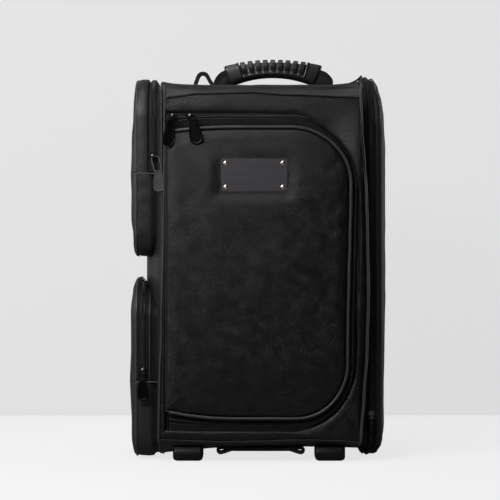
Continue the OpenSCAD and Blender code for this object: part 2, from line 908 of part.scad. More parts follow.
module plate_rivets() {
    dome_r = (pow(rivet_r, 2) + pow(rivet_h, 2)) / (2 * rivet_h);
    color(steel)
        for (sx = [-1, 1])
            for (sz = [-1, 1])
                translate([
                    -plate_offset + sx * (plate_w / 2 - rivet_inset),
                    door_face - plate_t,
                    body_z + plate_rise + sz * (plate_h / 2 - rivet_inset)
                ])
                    rotate([90, 0, 0]) intersection() {
                        translate([0, 0, rivet_h - dome_r]) sphere(r = dome_r);
                        cylinder(h = dome_r, r = rivet_r);
                    }
}

// Sliders and pulls

module front_slider_left() {
    slider(hinge_x + first_slider, tape_y, band_mid_z, "x", front_eye_reach);
}

module front_slider_right() {
    slider(hinge_x + first_slider + slider_pitch, tape_y, band_mid_z, "x", front_eye_reach);
}

module front_pull_left() {
    pull(hinge_x + first_slider, tape_y, band_mid_z, front_link, front_tab_w, front_tab_l, front_eye_reach);
}

module front_pull_right() {
    x = hinge_x + first_slider + slider_pitch;
    pull(x, tape_y, band_mid_z, front_link, front_tab_w, front_tab_l, front_eye_reach);
}

module upper_slider() {
    slider(-upper_zip, flank_zip_y, upper_eye_z, "z", eye_reach);
}

module upper_pull() {
    pull(-upper_zip, flank_zip_y, upper_eye_z, upper_link, flank_tab_w, flank_tab_l, eye_reach);
}

module lower_slider() {
    slider(-lower_zip, flank_zip_y, lower_eye_z, "z", eye_reach);
}

module lower_pull() {
    pull(-lower_zip, flank_zip_y, lower_eye_z, lower_link, flank_tab_w, flank_tab_l, eye_reach);
}

module side_slider() {
    slider(side_zip, side_zip_y, side_eye_z, "z", eye_reach);
}

module side_pull() {
    pull(side_zip, side_zip_y, side_eye_z, side_link, flank_tab_w, flank_tab_l, eye_reach);
}

// Carry handle

module grip_section(extra) {
    half = grip_w / 2 + extra;
    r = grip_edge_r;
    rounded([grip_r - grip_h - extra, -half], [grip_r + extra, half], [r, r, r, r]);
}

// An arc of the grip between two angles from its top
module grip_arc(from, to, extra) {
    translate([handle_offset, 0, grip_axis_z]) rotate([90, 0, 0]) rotate([0, 0, 90 + from])
        rotate_extrude(angle = to - from) grip_section(extra);
}

module handle_grip() {
    pitch = rib_pitch / grip_r * 180 / PI;
    width = rib_w / grip_r * 180 / PI;
    color(plastic) {
        grip_arc(-grip_angle, grip_angle, 0);
        for (i = [0:rib_count - 1]) {
            at = (i - (rib_count - 1) / 2) * pitch;
            grip_arc(at - width / 2, at + width / 2, rib_h);
        }
    }
}

// One webbing end from the grip's end face down to its pivot, on side -1 or 1
module handle_strap(side) {
    pivot_x = handle_offset + side * handle_span / 2;
    end_x = handle_offset + side * (grip_r - grip_h / 2) * sin(grip_angle);
    end_z = grip_axis_z + (grip_r - grip_h / 2) * cos(grip_angle);
    tail = pivot_r + 1;
    bar_x(pivot_x - tail, pivot_x + tail, 0, pivot_z, pivot_r);
    hull() {
        bar_x(pivot_x - tail, pivot_x + tail, 0, pivot_z, pivot_r * strap_pinch);
        translate([end_x, 0, end_z]) rotate([0, side * grip_angle, 0])
            cube([webbing_t, webbing_w, grip_h / 2], center = true);
    }
}

module handle_straps() {
    color(webbing) difference() {
        for (side = [-1, 1])
            handle_strap(side);
        grip_arc(-grip_angle, grip_angle, rib_h);
    }
}

module handle_anchors() {
    top = pivot_z - pivot_r - seat;
    color(leather)
        for (side = [-1, 1]) {
            x = handle_offset + side * handle_span / 2;
            block([x - anchor_w / 2, -anchor_d / 2, body_top], [x + anchor_w / 2, anchor_d / 2, top]);
        }
}

// Loops and straps

// A webbing loop drawn as an arch on splayed feet
module shoulder_loop(x) {
    arch_r = loop_w * loop_arch_share;
    arch_z = body_top + loop_h - arch_r;
    color(webbing) along_y(loop_back - loop_webbing_w / 2, loop_back + loop_webbing_w / 2) difference() {
        union() {
            translate([x, arch_z]) circle(r = arch_r);
            polygon([
                [x - loop_w / 2, body_top], [x - arch_r, arch_z],
                [x + arch_r, arch_z], [x + loop_w / 2, body_top]
            ]);
        }
        translate([x, arch_z]) circle(r = arch_r - webbing_t);
        polygon([
            [x - loop_w / 2 + webbing_t, body_top - past], [x - arch_r + webbing_t, arch_z],
            [x + arch_r - webbing_t, arch_z], [x + loop_w / 2 - webbing_t, body_top - past]
        ]);
    }
}

// A length of webbing between two points, seen from its edge
module webbing_run(a, b) {
    u = (b - a) / norm(b - a) * webbing_t / 2;
    n = [-u.y, u.x];
    polygon([a - n, b - n, b + n, a + n]);
    translate(b) circle(r = webbing_t / 2);
}

// A webbing loop that leans over to the right
module leaning_loop(x) {
    from = [x - loop_w / 2, body_top - past];
    bend = [x + loop_bend, body_top + loop_bend_rise];
    tip = [x + loop_lean, body_top + loop_h - webbing_t / 2];
    to = [x + loop_w / 2, body_top - past];
    color(webbing) intersection() {
        along_y(loop_back - loop_webbing_w / 2, loop_back + loop_webbing_w / 2) {
            webbing_run(from, bend);
            webbing_run(bend, tip);
            webbing_run(tip, to);
        }
        block([x - loop_w, 0, body_top], [x + 2 * loop_w, half_d, body_top + 2 * loop_h]);
    }
}

module shoulder_loops() {
    shoulder_loop(handle_offset - loop_side);
    leaning_loop(handle_offset + loop_side);
}

module bottom_strap() {
    left = -strap_offset - strap_l / 2;
    strap_z = body_z - strap_drop;
    from = front_y + strap_back;
    color(webbing) along_y(from, from + strap_w) difference() {
        translate([left, strap_z]) square([strap_l, strap_drop]);
        translate([left + strap_end, strap_z + webbing_t]) square([strap_l - 2 * strap_end, strap_drop]);
    }
}

// Feet and wheels

module front_feet() {
    r = foot_r;
    color(plastic)
        for (side = [-1, 1])
            translate([side * foot_pitch / 2 - foot_offset - foot_w / 2, front_y + foot_back, 0])
                linear_extrude(body_z) rounded([0, 0], [foot_w, foot_d], [r, r, r, r]);
}

module wheel_housing_left() {
    wheel_housing(-wheel_pitch / 2);
}

module wheel_housing_right() {
    wheel_housing(wheel_pitch / 2);
}

module wheel_axles() {
    color(steel)
        for (x = [-wheel_pitch / 2, wheel_pitch / 2])
            bar_x(x - housing_w / 2, x + housing_w / 2, wheel_y, wheel_r, axle_r);
}

module wheel_tyre(x) {
    color(rubber) difference() {
        bar_x(x - wheel_w / 2, x + wheel_w / 2, wheel_y, wheel_r, wheel_r);
        bar_x(x - wheel_w, x + wheel_w, wheel_y, wheel_r, hub_r);
    }
}

module wheel_hub(x) {
    color(plastic) difference() {
        bar_x(x - wheel_w / 2, x + wheel_w / 2, wheel_y, wheel_r, hub_r);
        bar_x(x - wheel_w, x + wheel_w, wheel_y, wheel_r, axle_r + axle_fit);
    }
}

module wheel_tyre_left() {
    wheel_tyre(-wheel_pitch / 2);
}

module wheel_tyre_right() {
    wheel_tyre(wheel_pitch / 2);
}

module wheel_hub_left() {
    wheel_hub(-wheel_pitch / 2);
}

module wheel_hub_right() {
    wheel_hub(wheel_pitch / 2);
}

// Trolley

module trolley_cover() {
    color(lining_grey) difference() {
        block([-inner_w, cover_y, inner_z], [inner_w, cover_y + cover_t, inner_top]);
        bezel_room();
    }
}

module trolley_outer_tubes() {
    color(alloy)
        for (side = [-1, 1])
            tube(side * tube_pitch / 2, tube_y, inner_z + bracket_h, bezel_z, tube_r);
}

module trolley_foot_bracket() {
    reach = tube_pitch / 2 + tube_r + bracket_rim;
    color(plastic)
        block([-reach, cover_y + cover_t, inner_z], [reach, back_y - panel_t, inner_z + bracket_h]);
}

module trolley_bezel() {
    color(plastic) difference() {
        block([-bezel_w / 2, bezel_y, bezel_z], [bezel_w / 2, bezel_y + bezel_d, bezel_top]);
        block(
            [-bezel_w / 2 + bezel_wall, bezel_y + bezel_wall, grip_leg_z - bezel_wall],
            [bezel_w / 2 - bezel_wall, bezel_y + bezel_d - bezel_wall, bezel_top + past]
        );
        for (side = [-1, 1])
            translate([side * tube_pitch / 2, tube_y, bezel_z - past])
                cylinder(h = bezel_h, r = mid_r + tube_gap);
    }
}

module trolley_middle_tubes() {
    color(alloy)
        for (x = [-tube_pitch / 2, tube_pitch / 2])
            tube(x, tube_y, inner_z + bracket_h + tube_step, grip_leg_z - tube_step / 2, mid_r);
}

module trolley_inner_tubes() {
    color(alloy)
        for (side = [-1, 1])
            tube(side * tube_pitch / 2, tube_y, inner_z + bracket_h + 2 * tube_step, grip_leg_z, inner_r);
}

module trolley_grip() {
    half = trolley_grip_l / 2;
    leg = tube_pitch / 2 - tube_r - trolley_leg_wall;
    r = trolley_grip_r;
    color(plastic) difference() {
        along_y(tube_y - trolley_grip_d / 2, tube_y + trolley_grip_d / 2) difference() {
            rounded([-half, grip_leg_z], [half, grip_bar_top], [r, r, r, r]);
            rounded([-leg, grip_leg_z - past - r], [leg, grip_bar_z], [r, r, r, r]);
        }
        translate([0, tube_y, grip_bar_top - button_seat])
            linear_extrude(button_seat + past) button_outline(button_gap);
    }
}

module button_outline(extra) {
    half_l = button_l / 2 + extra;
    half = button_w / 2 + extra;
    rounded([-half_l, -half], [half_l, half], [half, half, half, half]);
}

module trolley_button() {
    from = grip_bar_top - button_seat + button_travel + seat;
    color(zip_metal) translate([0, tube_y, from])
        linear_extrude(grip_bar_top + button_rise - from) button_outline(0);
}

placed() base_panel();
placed() top_panel();
placed() back_panel();
placed() left_side_panel();
placed() right_side_panel();
placed() front_frame();
placed() front_zip_outer();
placed() main_lining();
placed() lower_shelf();
placed() upper_shelf();
placed() left_flank_pad();
placed() upper_pocket_body();
placed() upper_pocket_zip();
placed() lower_pocket_body();
placed() lower_pocket_zip();
placed() side_compartment_body();
placed() side_compartment_zip();
placed() trolley_cover();
placed() trolley_outer_tubes();
placed() trolley_bezel();
placed() trolley_foot_bracket();
placed() wheel_housing_left();
placed() wheel_housing_right();
placed() wheel_axles();
placed() front_feet();
placed() bottom_strap();
placed() shoulder_loops();
placed() handle_anchors();
placed() front_door_panel();
placed() front_door_lining();
placed() front_zip_inner();
placed() name_plate();
placed() plate_rivets();
placed() front_slider_left();
placed() front_slider_right();
placed() front_pull_left();
placed() front_pull_right();
placed() side_door_shell();
placed() side_door_zip();
placed() side_slider();
placed() side_pull();
placed() upper_flap();
placed() upper_flap_zip();
placed() upper_slider();
placed() upper_pull();
placed() lower_flap();
placed() lower_flap_zip();
placed() lower_slider();
placed() lower_pull();
placed() handle_straps();
placed() handle_grip();
placed() trolley_middle_tubes();
placed() trolley_inner_tubes();
placed() trolley_grip();
placed() trolley_button();
placed() wheel_tyre_left();
placed() wheel_hub_left();
placed() wheel_tyre_right();
placed() wheel_hub_right();
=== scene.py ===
import bmesh
import bpy
import math
from mathutils import Matrix, Vector, noise


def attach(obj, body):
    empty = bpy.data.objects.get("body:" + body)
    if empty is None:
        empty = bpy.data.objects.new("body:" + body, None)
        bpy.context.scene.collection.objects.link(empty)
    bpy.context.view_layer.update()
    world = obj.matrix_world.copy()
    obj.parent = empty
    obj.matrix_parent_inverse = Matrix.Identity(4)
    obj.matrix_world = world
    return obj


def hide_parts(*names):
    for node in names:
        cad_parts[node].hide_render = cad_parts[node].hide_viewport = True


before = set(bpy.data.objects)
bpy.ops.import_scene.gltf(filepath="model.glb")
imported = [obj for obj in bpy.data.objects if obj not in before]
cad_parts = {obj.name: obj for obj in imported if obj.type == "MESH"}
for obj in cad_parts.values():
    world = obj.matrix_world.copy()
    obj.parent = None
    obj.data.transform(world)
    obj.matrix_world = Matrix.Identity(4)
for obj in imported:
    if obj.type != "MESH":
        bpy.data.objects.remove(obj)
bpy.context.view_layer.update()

# Places are written in millimetres from the body's middle, and moved into the frame by this shift.
SHIFT = Vector((6.0, -1.7, 0.0))
HALF_W, BACK, MID_Z = 146.5, 115.0, 285.0
BODY_Z, BODY_TOP = 20.0, 551.0
HINGE_X, DOOR_X, DOOR_Z, DOOR_TOP = -141.5, 127.0, 64.0, 490.0
# The door's corner radii, its rim's width, where its face starts, and its zip
DOOR_R_TOP, DOOR_R_LOW, DOOR_EDGE, FACE_X, TAPE_Y = 85.0, 78.0, 4.2, HINGE_X + 1.8, -113.0
# Where the pockets' faces and the side door's face start
POCKET_X, SIDE_X = 184.0, 174.5
HANDLE_X, GRIP_R, GRIP_Z, GRIP_LENGTH = 16.5, 180.0, 415.0, 145.0
FORWARD = (0, -1, 0)
CORNERS = ((-1, -1, 180), (1, -1, 270), (1, 1, 0), (-1, 1, 90))
CLOTH_FRAMES = 20
scene = bpy.context.scene


def at(x, y, z):
    return (Vector((x, y, z)) + SHIFT) * 0.001


def clamp(v, low=0.0, high=1.0):
    return max(low, min(high, v))


def smooth(v):
    v = clamp(v)
    return v * v * (3 - 2 * v)


def table(v, rows):
    """A smooth value between the rows (place, value) of a table."""
    if v <= rows[0][0]:
        return rows[0][1]
    for (a, p), (b, q) in zip(rows, rows[1:]):
        if v <= b:
            return p + (q - p) * smooth((v - a) / (b - a)) if b > a else q
    return rows[-1][1]


def ripple(x, y, z, size, seed=0.0):
    return noise.noise(Vector((x / size + seed, y / size - seed, z / size + 2 * seed)))


# ---------------------------------------------------------------- materials


class Tree:
    """The node tree of a material or world."""

    def __init__(self, owner):
        owner.use_nodes = True
        self.tree = owner.node_tree

    def fill(self, node, **values):
        """Sets a node's fields (small letters) and inputs (capitals), which take values or other nodes' outputs."""
        for key, value in values.items():
            if key[0].islower():
                setattr(node, key, value)
            elif isinstance(value, bpy.types.NodeSocket):
                self.tree.links.new(value, node.inputs[key.replace("_", " ")])
            else:
                node.inputs[key.replace("_", " ")].default_value = value
        return node

    def add(self, kind, **values):
        return self.fill(self.tree.nodes.new(kind), **values)

    def mix(self, share, first, second):
        """A shader between two others."""
        node = self.add("ShaderNodeMixShader", Fac=share)
        self.tree.links.new(first.outputs[0], node.inputs[1])
        self.tree.links.new(second.outputs[0], node.inputs[2])
        return node

    def seen(self):
        """1 for what the camera sees directly, and 0 for all other light."""
        return self.add("ShaderNodeLightPath").outputs["Is Camera Ray"]

    def math(self, operation, *terms):
        node = self.add("ShaderNodeMath", operation=operation)
        for slot, value in zip(node.inputs, terms):
            if isinstance(value, bpy.types.NodeSocket):
                self.tree.links.new(value, slot)
            else:
                slot.default_value = value
        return node.outputs[0]

    def plus(self, a, b):
        return self.math("ADD", a, b)

    def less(self, a, b):
        return self.math("SUBTRACT", a, b)

    def times(self, a, b):
        return self.math("MULTIPLY", a, b)


class Look(Tree):
    """A procedural material on one Principled shader."""

    def __init__(self, name, rough, **values):
        self.mat = bpy.data.materials.new(name)
        super().__init__(self.mat)
        self.shader = self.fill(self.tree.nodes["Principled BSDF"], Roughness=rough, **values)
        self.place = self.add("ShaderNodeTexCoord").outputs["Object"]
        self.x, self.y, self.z = self.add("ShaderNodeSeparateXYZ", Vector=self.place).outputs

    def noise(self, scale, detail=3.0, rough=0.55, stretch=None):
        place = self.place
        if stretch:
            place = self.add("ShaderNodeMapping", Vector=place, Scale=stretch).outputs[0]
        return self.add("ShaderNodeTexNoise", Vector=place, Scale=scale, Detail=detail, Roughness=rough).outputs["Fac"]

    def wave(self, u, pitch):
        """A sine wave from 0 to 1 along u, with its pitch in metres."""
        return self.math("MULTIPLY_ADD", self.math("SINE", self.times(u, 2 * math.pi / pitch)), 0.5, 0.5)

    def colour(self, share, dark, light, low=0.3, high=0.7):
        ramp = self.add("ShaderNodeValToRGB", Fac=share)
        for stop, position, colour in zip(ramp.color_ramp.elements, (low, high), (dark, light)):
            stop.position, stop.color = position, (*colour, 1)
        self.fill(self.shader, Base_Color=ramp.outputs[0])

    def rough(self, share, low, high):
        span = self.add("ShaderNodeMapRange", Value=share, To_Min=low, To_Max=high)
        self.fill(self.shader, Roughness=span.outputs[0])

    def bump(self, *layers):
        """Adds bump layers (height, strength, distance in metres) and gives the material."""
        normal = {}
        for height, strength, distance in layers:
            node = self.add("ShaderNodeBump", Strength=strength, Distance=distance, Height=height, **normal)
            normal = {"Normal": node.outputs[0]}
        self.fill(self.shader, **normal)
        return self.mat


def grey(v, tint=0.0):
    return (v * (1 + tint), v, v * (1 + tint * 1.4))


def saffiano_look():
    """Leather pressed with a fine crossed hatch."""
    look = Look("saffiano", 0.5, Specular_IOR_Level=0.16)
    sway = look.times(look.noise(140, 2), 0.002)
    flat = look.plus(look.x, look.y)
    lines = [look.wave(look.plus(slope, sway), 0.0035) for slope in (look.plus(flat, look.z), look.less(flat, look.z))]
    spots = look.times(look.noise(520, 2), look.noise(75, 3))
    hatch = look.times(look.math("MAXIMUM", *lines), look.times(spots, 3.2))
    share = look.plus(look.times(hatch, 0.8), look.times(look.noise(11, 3), 0.2))
    look.colour(share, grey(0.0003, 0.05), grey(0.0054, 0.14), 0.22, 0.95)
    look.rough(hatch, 0.42, 0.3)
    return look.bump((hatch, 0.9, 0.00034), (look.noise(26, 4), 0.35, 0.0012))


def leather_look(name, dark, light, low, high):
    look = Look(name, 0.45, Specular_IOR_Level=0.18)
    pebble = look.add("ShaderNodeTexVoronoi", feature="SMOOTH_F1", Vector=look.place, Scale=520).outputs["Distance"]
    grain = look.noise(240, 4)
    fold = look.noise(26, 4, 0.6, (1.0, 1.0, 0.45))
    look.colour(look.plus(look.times(grain, 0.5), look.times(fold, 0.5)), dark, light)
    look.rough(grain, low, high)
    return look.bump((pebble, 0.25, 0.0005), (grain, 0.22, 0.0005), (fold, 0.35, 0.0022))


def webbing_look():
    look = Look("webbing", 0.75, Specular_IOR_Level=0.12, Sheen_Weight=0.06, Sheen_Roughness=0.5)
    weave = look.times(look.wave(look.plus(look.x, look.y), 0.0018),
                       look.wave(look.less(look.z, look.times(look.y, 0.3)), 0.0014))
    look.colour(weave, grey(0.0025), grey(0.008), 0.1, 0.8)
    return look.bump((weave, 0.8, 0.0005), (look.noise(700, 2), 0.2, 0.0002))


def tape_look():
    look = Look("zip_tape", 0.7, Specular_IOR_Level=0.1, Sheen_Weight=0.03, Sheen_Roughness=0.5)
    slopes = look.plus(look.x, look.z), look.less(look.x, look.z)
    weave = look.math("MAXIMUM", *[look.wave(slope, 0.0011) for slope in slopes])
    look.colour(look.times(weave, look.noise(60, 2)), grey(0.0009), grey(0.0036, 0.03), 0.15, 0.6)
    return look.bump((weave, 0.5, 0.0003))


def lining_look():
    look = Look("lining", 0.8, Specular_IOR_Level=0.2, Sheen_Weight=0.3, Sheen_Roughness=0.4)
    weave = look.times(*[look.wave(look.plus(u, look.y), 0.0012) for u in (look.x, look.z)])
    look.colour(look.plus(weave, look.noise(12, 3)), grey(0.03, 0.02), grey(0.075, 0.02), 0.3, 1.1)
    return look.bump((weave, 0.4, 0.0003), (look.noise(22, 3), 0.3, 0.003))


def plastic_look(name, low, high, dark=0.002, light=0.0045, grain_scale=900, shine=0.09):
    look = Look(name, 0.4, Specular_IOR_Level=shine)
    look.colour(look.noise(35, 3), grey(dark, 0.03), grey(light, 0.03))
    look.rough(look.noise(60, 3), low, high)
    return look.bump((look.noise(grain_scale, 2), 0.18, 0.0002))


def metal_look(name, dark, light, low, high, metallic=1.0, brushed=None, **values):
    look = Look(name, low, Metallic=metallic, **values)
    streak = look.noise(180, 3, 0.5, brushed) if brushed else look.noise(90, 3)
    look.colour(streak, dark, light)
    look.rough(streak, low, high)
    return look.bump((streak, 0.08, 0.0002))


def rubber_look():
    look = Look("tyre_rubber", 0.8, Specular_IOR_Level=0.25)
    look.colour(look.noise(70, 4), grey(0.008), grey(0.022))
    return look.bump((look.noise(500, 3), 0.3, 0.0003))


SAFFIANO = saffiano_look()
LEATHER = leather_look("smooth_leather", grey(0.0036, 0.07), grey(0.0105, 0.09), 0.4, 0.54)
# A darker copy of the smooth leather for the right-hand compartment: painted shade for the side that the lamps leave
# darker.
PAINTED_SHADE_LEATHER = leather_look("side_leather_painted_shade", grey(0.0024, 0.05), grey(0.0078, 0.07), 0.42, 0.56)
# A lighter copy of the smooth leather for piping and welts: painted sheen on their rounded edges, where the same black
# leather catches the light.
BINDING_PAINTED_SHEEN = leather_look("binding_leather_painted_sheen", grey(0.012, 0.05), grey(0.026, 0.05), 0.32, 0.44)
WEBBING = webbing_look()
TAPE = tape_look()
LINING = lining_look()
PLASTIC = plastic_look("moulded_plastic", 0.34, 0.5)
GRIP = plastic_look("grip_plastic", 0.26, 0.4, shine=0.3)
HUB = plastic_look("hub_plastic", 0.22, 0.34, 0.01, 0.02)
COIL = plastic_look("zip_coil", 0.34, 0.46, 0.002, 0.005, shine=0.25)
THREAD = plastic_look("thread", 0.6, 0.75, 0.0015, 0.004, 1500, 0.15)
ZIP_METAL = metal_look("black_zip_metal", grey(0.0012), grey(0.003), 0.14, 0.22, 0.0, Coat_Weight=0.4,
                       Coat_Roughness=0.1, Specular_IOR_Level=0.5)
PULL_BLACK = metal_look("lacquered_pull", grey(0.0006), grey(0.0014), 0.3, 0.4, 0.0, Specular_IOR_Level=0.05)
PULL_GREY = metal_look("matt_pull", grey(0.022, 0.03), grey(0.03, 0.03), 0.5, 0.6, 0.0, Specular_IOR_Level=0.12)
PLATE_METAL = metal_look("plate_metal", grey(0.033, 0.06), grey(0.038, 0.06), 0.42, 0.5, 0.75, (0.05, 1, 2.5))
RIVET_METAL = metal_look("rivet_metal", (0.36, 0.3, 0.25), (0.44, 0.37, 0.31), 0.18, 0.26)
ALLOY = metal_look("tube_alloy", grey(0.5), grey(0.6), 0.26, 0.36, 1.0, (1, 1, 0.05))
STEEL = metal_look("axle_steel", grey(0.45), grey(0.55), 0.22, 0.32, 1.0, (0.05, 1, 1))
RUBBER = rubber_look()


# ---------------------------------------------------------------- mesh tools


def placed(name, data):
    """A new object in the scene."""
    ob = bpy.data.objects.new(name, data)
    scene.collection.objects.link(ob)
    return ob


def piece(name, shape, mat, body, stands=(), solid=0.0):
    """A mesh (verts, faces) with its material, that rides on a body and stands for the named nodes, which it hides."""
    verts, faces = shape
    mesh = bpy.data.meshes.new(name)
    mesh.from_pydata([at(*v) for v in verts], [], faces)
    mesh.validate()
    mesh.materials.append(mat)
    mesh.polygons.foreach_set("use_smooth", [True] * len(mesh.polygons))
    ob = placed(name, mesh)
    if solid:
        layer = ob.modifiers.new("thickness", "SOLIDIFY")
        layer.thickness, layer.offset = solid * 0.001, 0.0
    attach(ob, body)
    if stands:
        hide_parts(*stands)
    return ob


def loft(rings, closed=True, caps=(False, False)):
    """Faces between rings of equal counts, with a flat face at either end where asked."""
    verts = [p for ring in rings for p in ring]
    n = len(rings[0])
    faces = []
    for k in range(len(rings) - 1):
        for i in range(n if closed else n - 1):
            j = (i + 1) % n
            faces.append((k * n + i, k * n + j, (k + 1) * n + j, (k + 1) * n + i))
    if caps[0]:
        faces.append(tuple(range(n - 1, -1, -1)))
    if caps[1]:
        faces.append(tuple((len(rings) - 1) * n + i for i in range(n)))
    return verts, faces


def merge(parts):
    verts, faces = [], []
    for v, f in parts:
        base = len(verts)
        verts += v
        faces += [tuple(base + i for i in face) for face in f]
    return verts, faces


def mix(p, q, k):
    """The point at share k of the way from p to q."""
    return tuple(a + (b - a) * k for a, b in zip(p, q))


def laid(line, y):
    """A line (x, z) as points (x, y, z)."""
    return [(x, y, z) for x, z in line]


def spaced(path, pitch, closed=False, start=0.0):
    """Points and directions along a path at an even pitch."""
    pts = [Vector(p) for p in path] + ([Vector(path[0])] if closed else [])
    marks = [0.0]
    for a, b in zip(pts, pts[1:]):
        marks.append(marks[-1] + (b - a).length)
    found, k = [], 0
    for i in range(max(1, int((marks[-1] - start) / pitch))):
        s = start + pitch * (i + 0.5)
        while k < len(marks) - 2 and marks[k + 1] < s:
            k += 1
        span = marks[k + 1] - marks[k] or 1.0
        a, b = pts[k], pts[k + 1]
        found.append((a.lerp(b, clamp((s - marks[k]) / span)), (b - a).normalized()))
    return found


def curve_through(points, step=4.0):
    """A smooth path through points, by Catmull-Rom."""
    pts = [Vector(p) for p in points]
    ends = [pts[0] * 2 - pts[1]] + pts + [pts[-1] * 2 - pts[-2]]
    path = []
    for k in range(1, len(ends) - 2):
        a, b, c, d = ends[k - 1:k + 3]
        n = max(2, int((c - b).length / step))
        for i in range(n):
            t = i / n
            path.append(0.5 * ((2 * b) + (c - a) * t + (2 * a - 5 * b + 4 * c - d) * t * t
                               + (3 * b - 3 * c + d - a) * t ** 3))
    return path + [pts[-1]]


def frames(path, up, closed=False):
    """For each point of a path: the point, the side and the up direction."""
    n = len(path)
    pts = [Vector(p) for p in path]
    out = []
    for i, p in enumerate(pts):
        a = pts[i - 1] if i or closed else p
        b = pts[(i + 1) % n] if i < n - 1 or closed else p
        t = (b - a).normalized()
        u = Vector(up(p) if callable(up) else up)
        side = t.cross(u).normalized()
        out.append((p, side, side.cross(t).normalized()))
    return out


def sweep(path, profile, up, closed=False):
    """A profile of (side, up) offsets swept along a path."""
    rings = [[p + side * u + top * v for u, v in profile] for p, side, top in frames(path, up, closed)]
    if closed:
        rings.append(rings[0])
    return loft(rings, True, (not closed, not closed))


def circle(r, sides=8):
    return [(r * math.cos(2 * math.pi * i / sides), r * math.sin(2 * math.pi * i / sides)) for i in range(sides)]


def rounded(cx, cy, half_x, half_y, r, steps):
    """The points (x, y) of a rounded rectangle."""
    out = []
    for side_x, side_y, start in CORNERS:
        for i in range(steps + 1):
            a = math.radians(start + 90 * i / steps)
            out.append((cx + side_x * (half_x - r) + r * math.cos(a), cy + side_y * (half_y - r) + r * math.sin(a)))
    return out


def strap(line, width, thick):
    """Webbing that runs in the xz plane, with its width along y."""
    half, t, r = thick / 2, width / 2, 0.5
    section = [(-half, -t + r), (-half + r, -t), (half - r, -t), (half, -t + r),
               (half, t - r), (half - r, t), (-half + r, t), (-half, t - r)]
    rings = []
    for i, p in enumerate(line):
        a, b = line[max(0, i - 1)], line[min(len(line) - 1, i + 1)]
        side = (Vector(b) - Vector(a)).normalized().cross(Vector((0, 1, 0))).normalized()
        rings.append([Vector(p) + side * u + Vector((0, v, 0)) for u, v in section])
    return loft(rings, True, (True, True))


def rows(path, up, pitch, size, offset=0.0, lift=0.0, closed=False, along=True, start=0.0):
    """Small rounded bars, such as stitches or teeth, at an even pitch: size is (length, width, height)."""
    length, width, height = size
    bars = []
    for p, t in spaced(path, pitch, closed, start):
        side = t.cross(Vector(up(p) if callable(up) else up)).normalized()
        top = side.cross(t).normalized()
        a, b = (t, side) if along else (side, t)
        rings = []
        for s, k in ((-0.5, 0.55), (-0.3, 1.0), (0.3, 1.0), (0.5, 0.55)):
            m = p + side * offset + top * lift + a * (length * s)
            wide, slim = b * (width * k / 2), b * (width * k * 0.35)
            low, high = top * (height * 0.35), top * (height * k / 2)
            rings.append([m - wide - low, m - slim + high, m + slim + high, m + wide - low])
        bars.append(loft(rings, True, (True, True)))
    return merge(bars)


def grid(points):
    """Faces of a grid of points."""
    return loft(points, False)


def fix_normals(ob, join=0.0):
    """Turns the faces outwards, after joining points closer than join (mm)."""
    bm = bmesh.new()
    bm.from_mesh(ob.data)
    if join:
        bmesh.ops.remove_doubles(bm, verts=bm.verts, dist=join * 0.001)
    bmesh.ops.recalc_face_normals(bm, faces=bm.faces)
    bm.to_mesh(ob.data)
    bm.free()


def inflate(ob, pinned, pressure, cap):
    """Swells a padded face with cloth by up to cap (mm), held at its pinned points, and keeps the result."""
    ob.vertex_groups.new(name="held").add(pinned, 1.0, "REPLACE")
    cloth = ob.modifiers.new("cloth", "CLOTH")
    s = cloth.settings
    s.vertex_group_mass, s.use_pressure, s.uniform_pressure_force = "held", True, pressure
    s.tension_stiffness = s.compression_stiffness = 12.0
    s.shear_stiffness, s.bending_stiffness, s.quality = 6.0, 1.5, 5
    s.effector_weights.gravity = 0.0
    cloth.point_cache.frame_start, cloth.point_cache.frame_end = 1, CLOTH_FRAMES
    for f in range(1, CLOTH_FRAMES + 1):
        scene.frame_set(f)
    swollen = ob.evaluated_get(bpy.context.evaluated_depsgraph_get())
    moved = [v.co.copy() for v in swollen.data.vertices]
    ob.modifiers.remove(cloth)
    scene.frame_set(1)
    for v, place in zip(ob.data.vertices, moved):
        d = place - v.co
        if d.length > cap * 0.001:
            d = d.normalized() * cap * 0.001
        v.co += d
    ob.data.update()


# ---------------------------------------------------------------- body shell

LEFT_BOW = [(24, -5.0), (110, -3.6), (191, -0.7), (331, 2.2), (481, 3.7), (551, 3.7)]
RIGHT_BOW = [(24, -3.2), (46, -2.2), (89, 1.3), (162, 6.0), (242, 8.2), (336, 6.5), (394, 5.0), (430, 2.1), (481, -1.6),
             (546, -3.7)]


def bow(x, z, share=1.0):
    """The soft body's bulges as seen from the front, from a plain box to the real outline."""
    u = clamp(x / HALF_W, -1, 1)
    dx = u * u * (table(z, RIGHT_BOW) if u > 0 else table(z, LEFT_BOW))
    high, low = clamp((z - 300) / 251) ** 4, clamp((270 - z) / 250) ** 4
    dz = high * (-2.2 + 6.4 * abs(u) ** 7) + low * ((-5.5 if u < 0 else -2.0) * abs(u) ** 2.5)
    return x + dx * share, z + dz * share


# Points along the top and bottom, round a right-hand corner, and up the right and left sides of an outline
NT, NC, NR, NL = 40, 14, 44, 24
LEFT_ARC = 8
# An outline without its left side
OPEN_D = NT + NC + NR + NC + NT


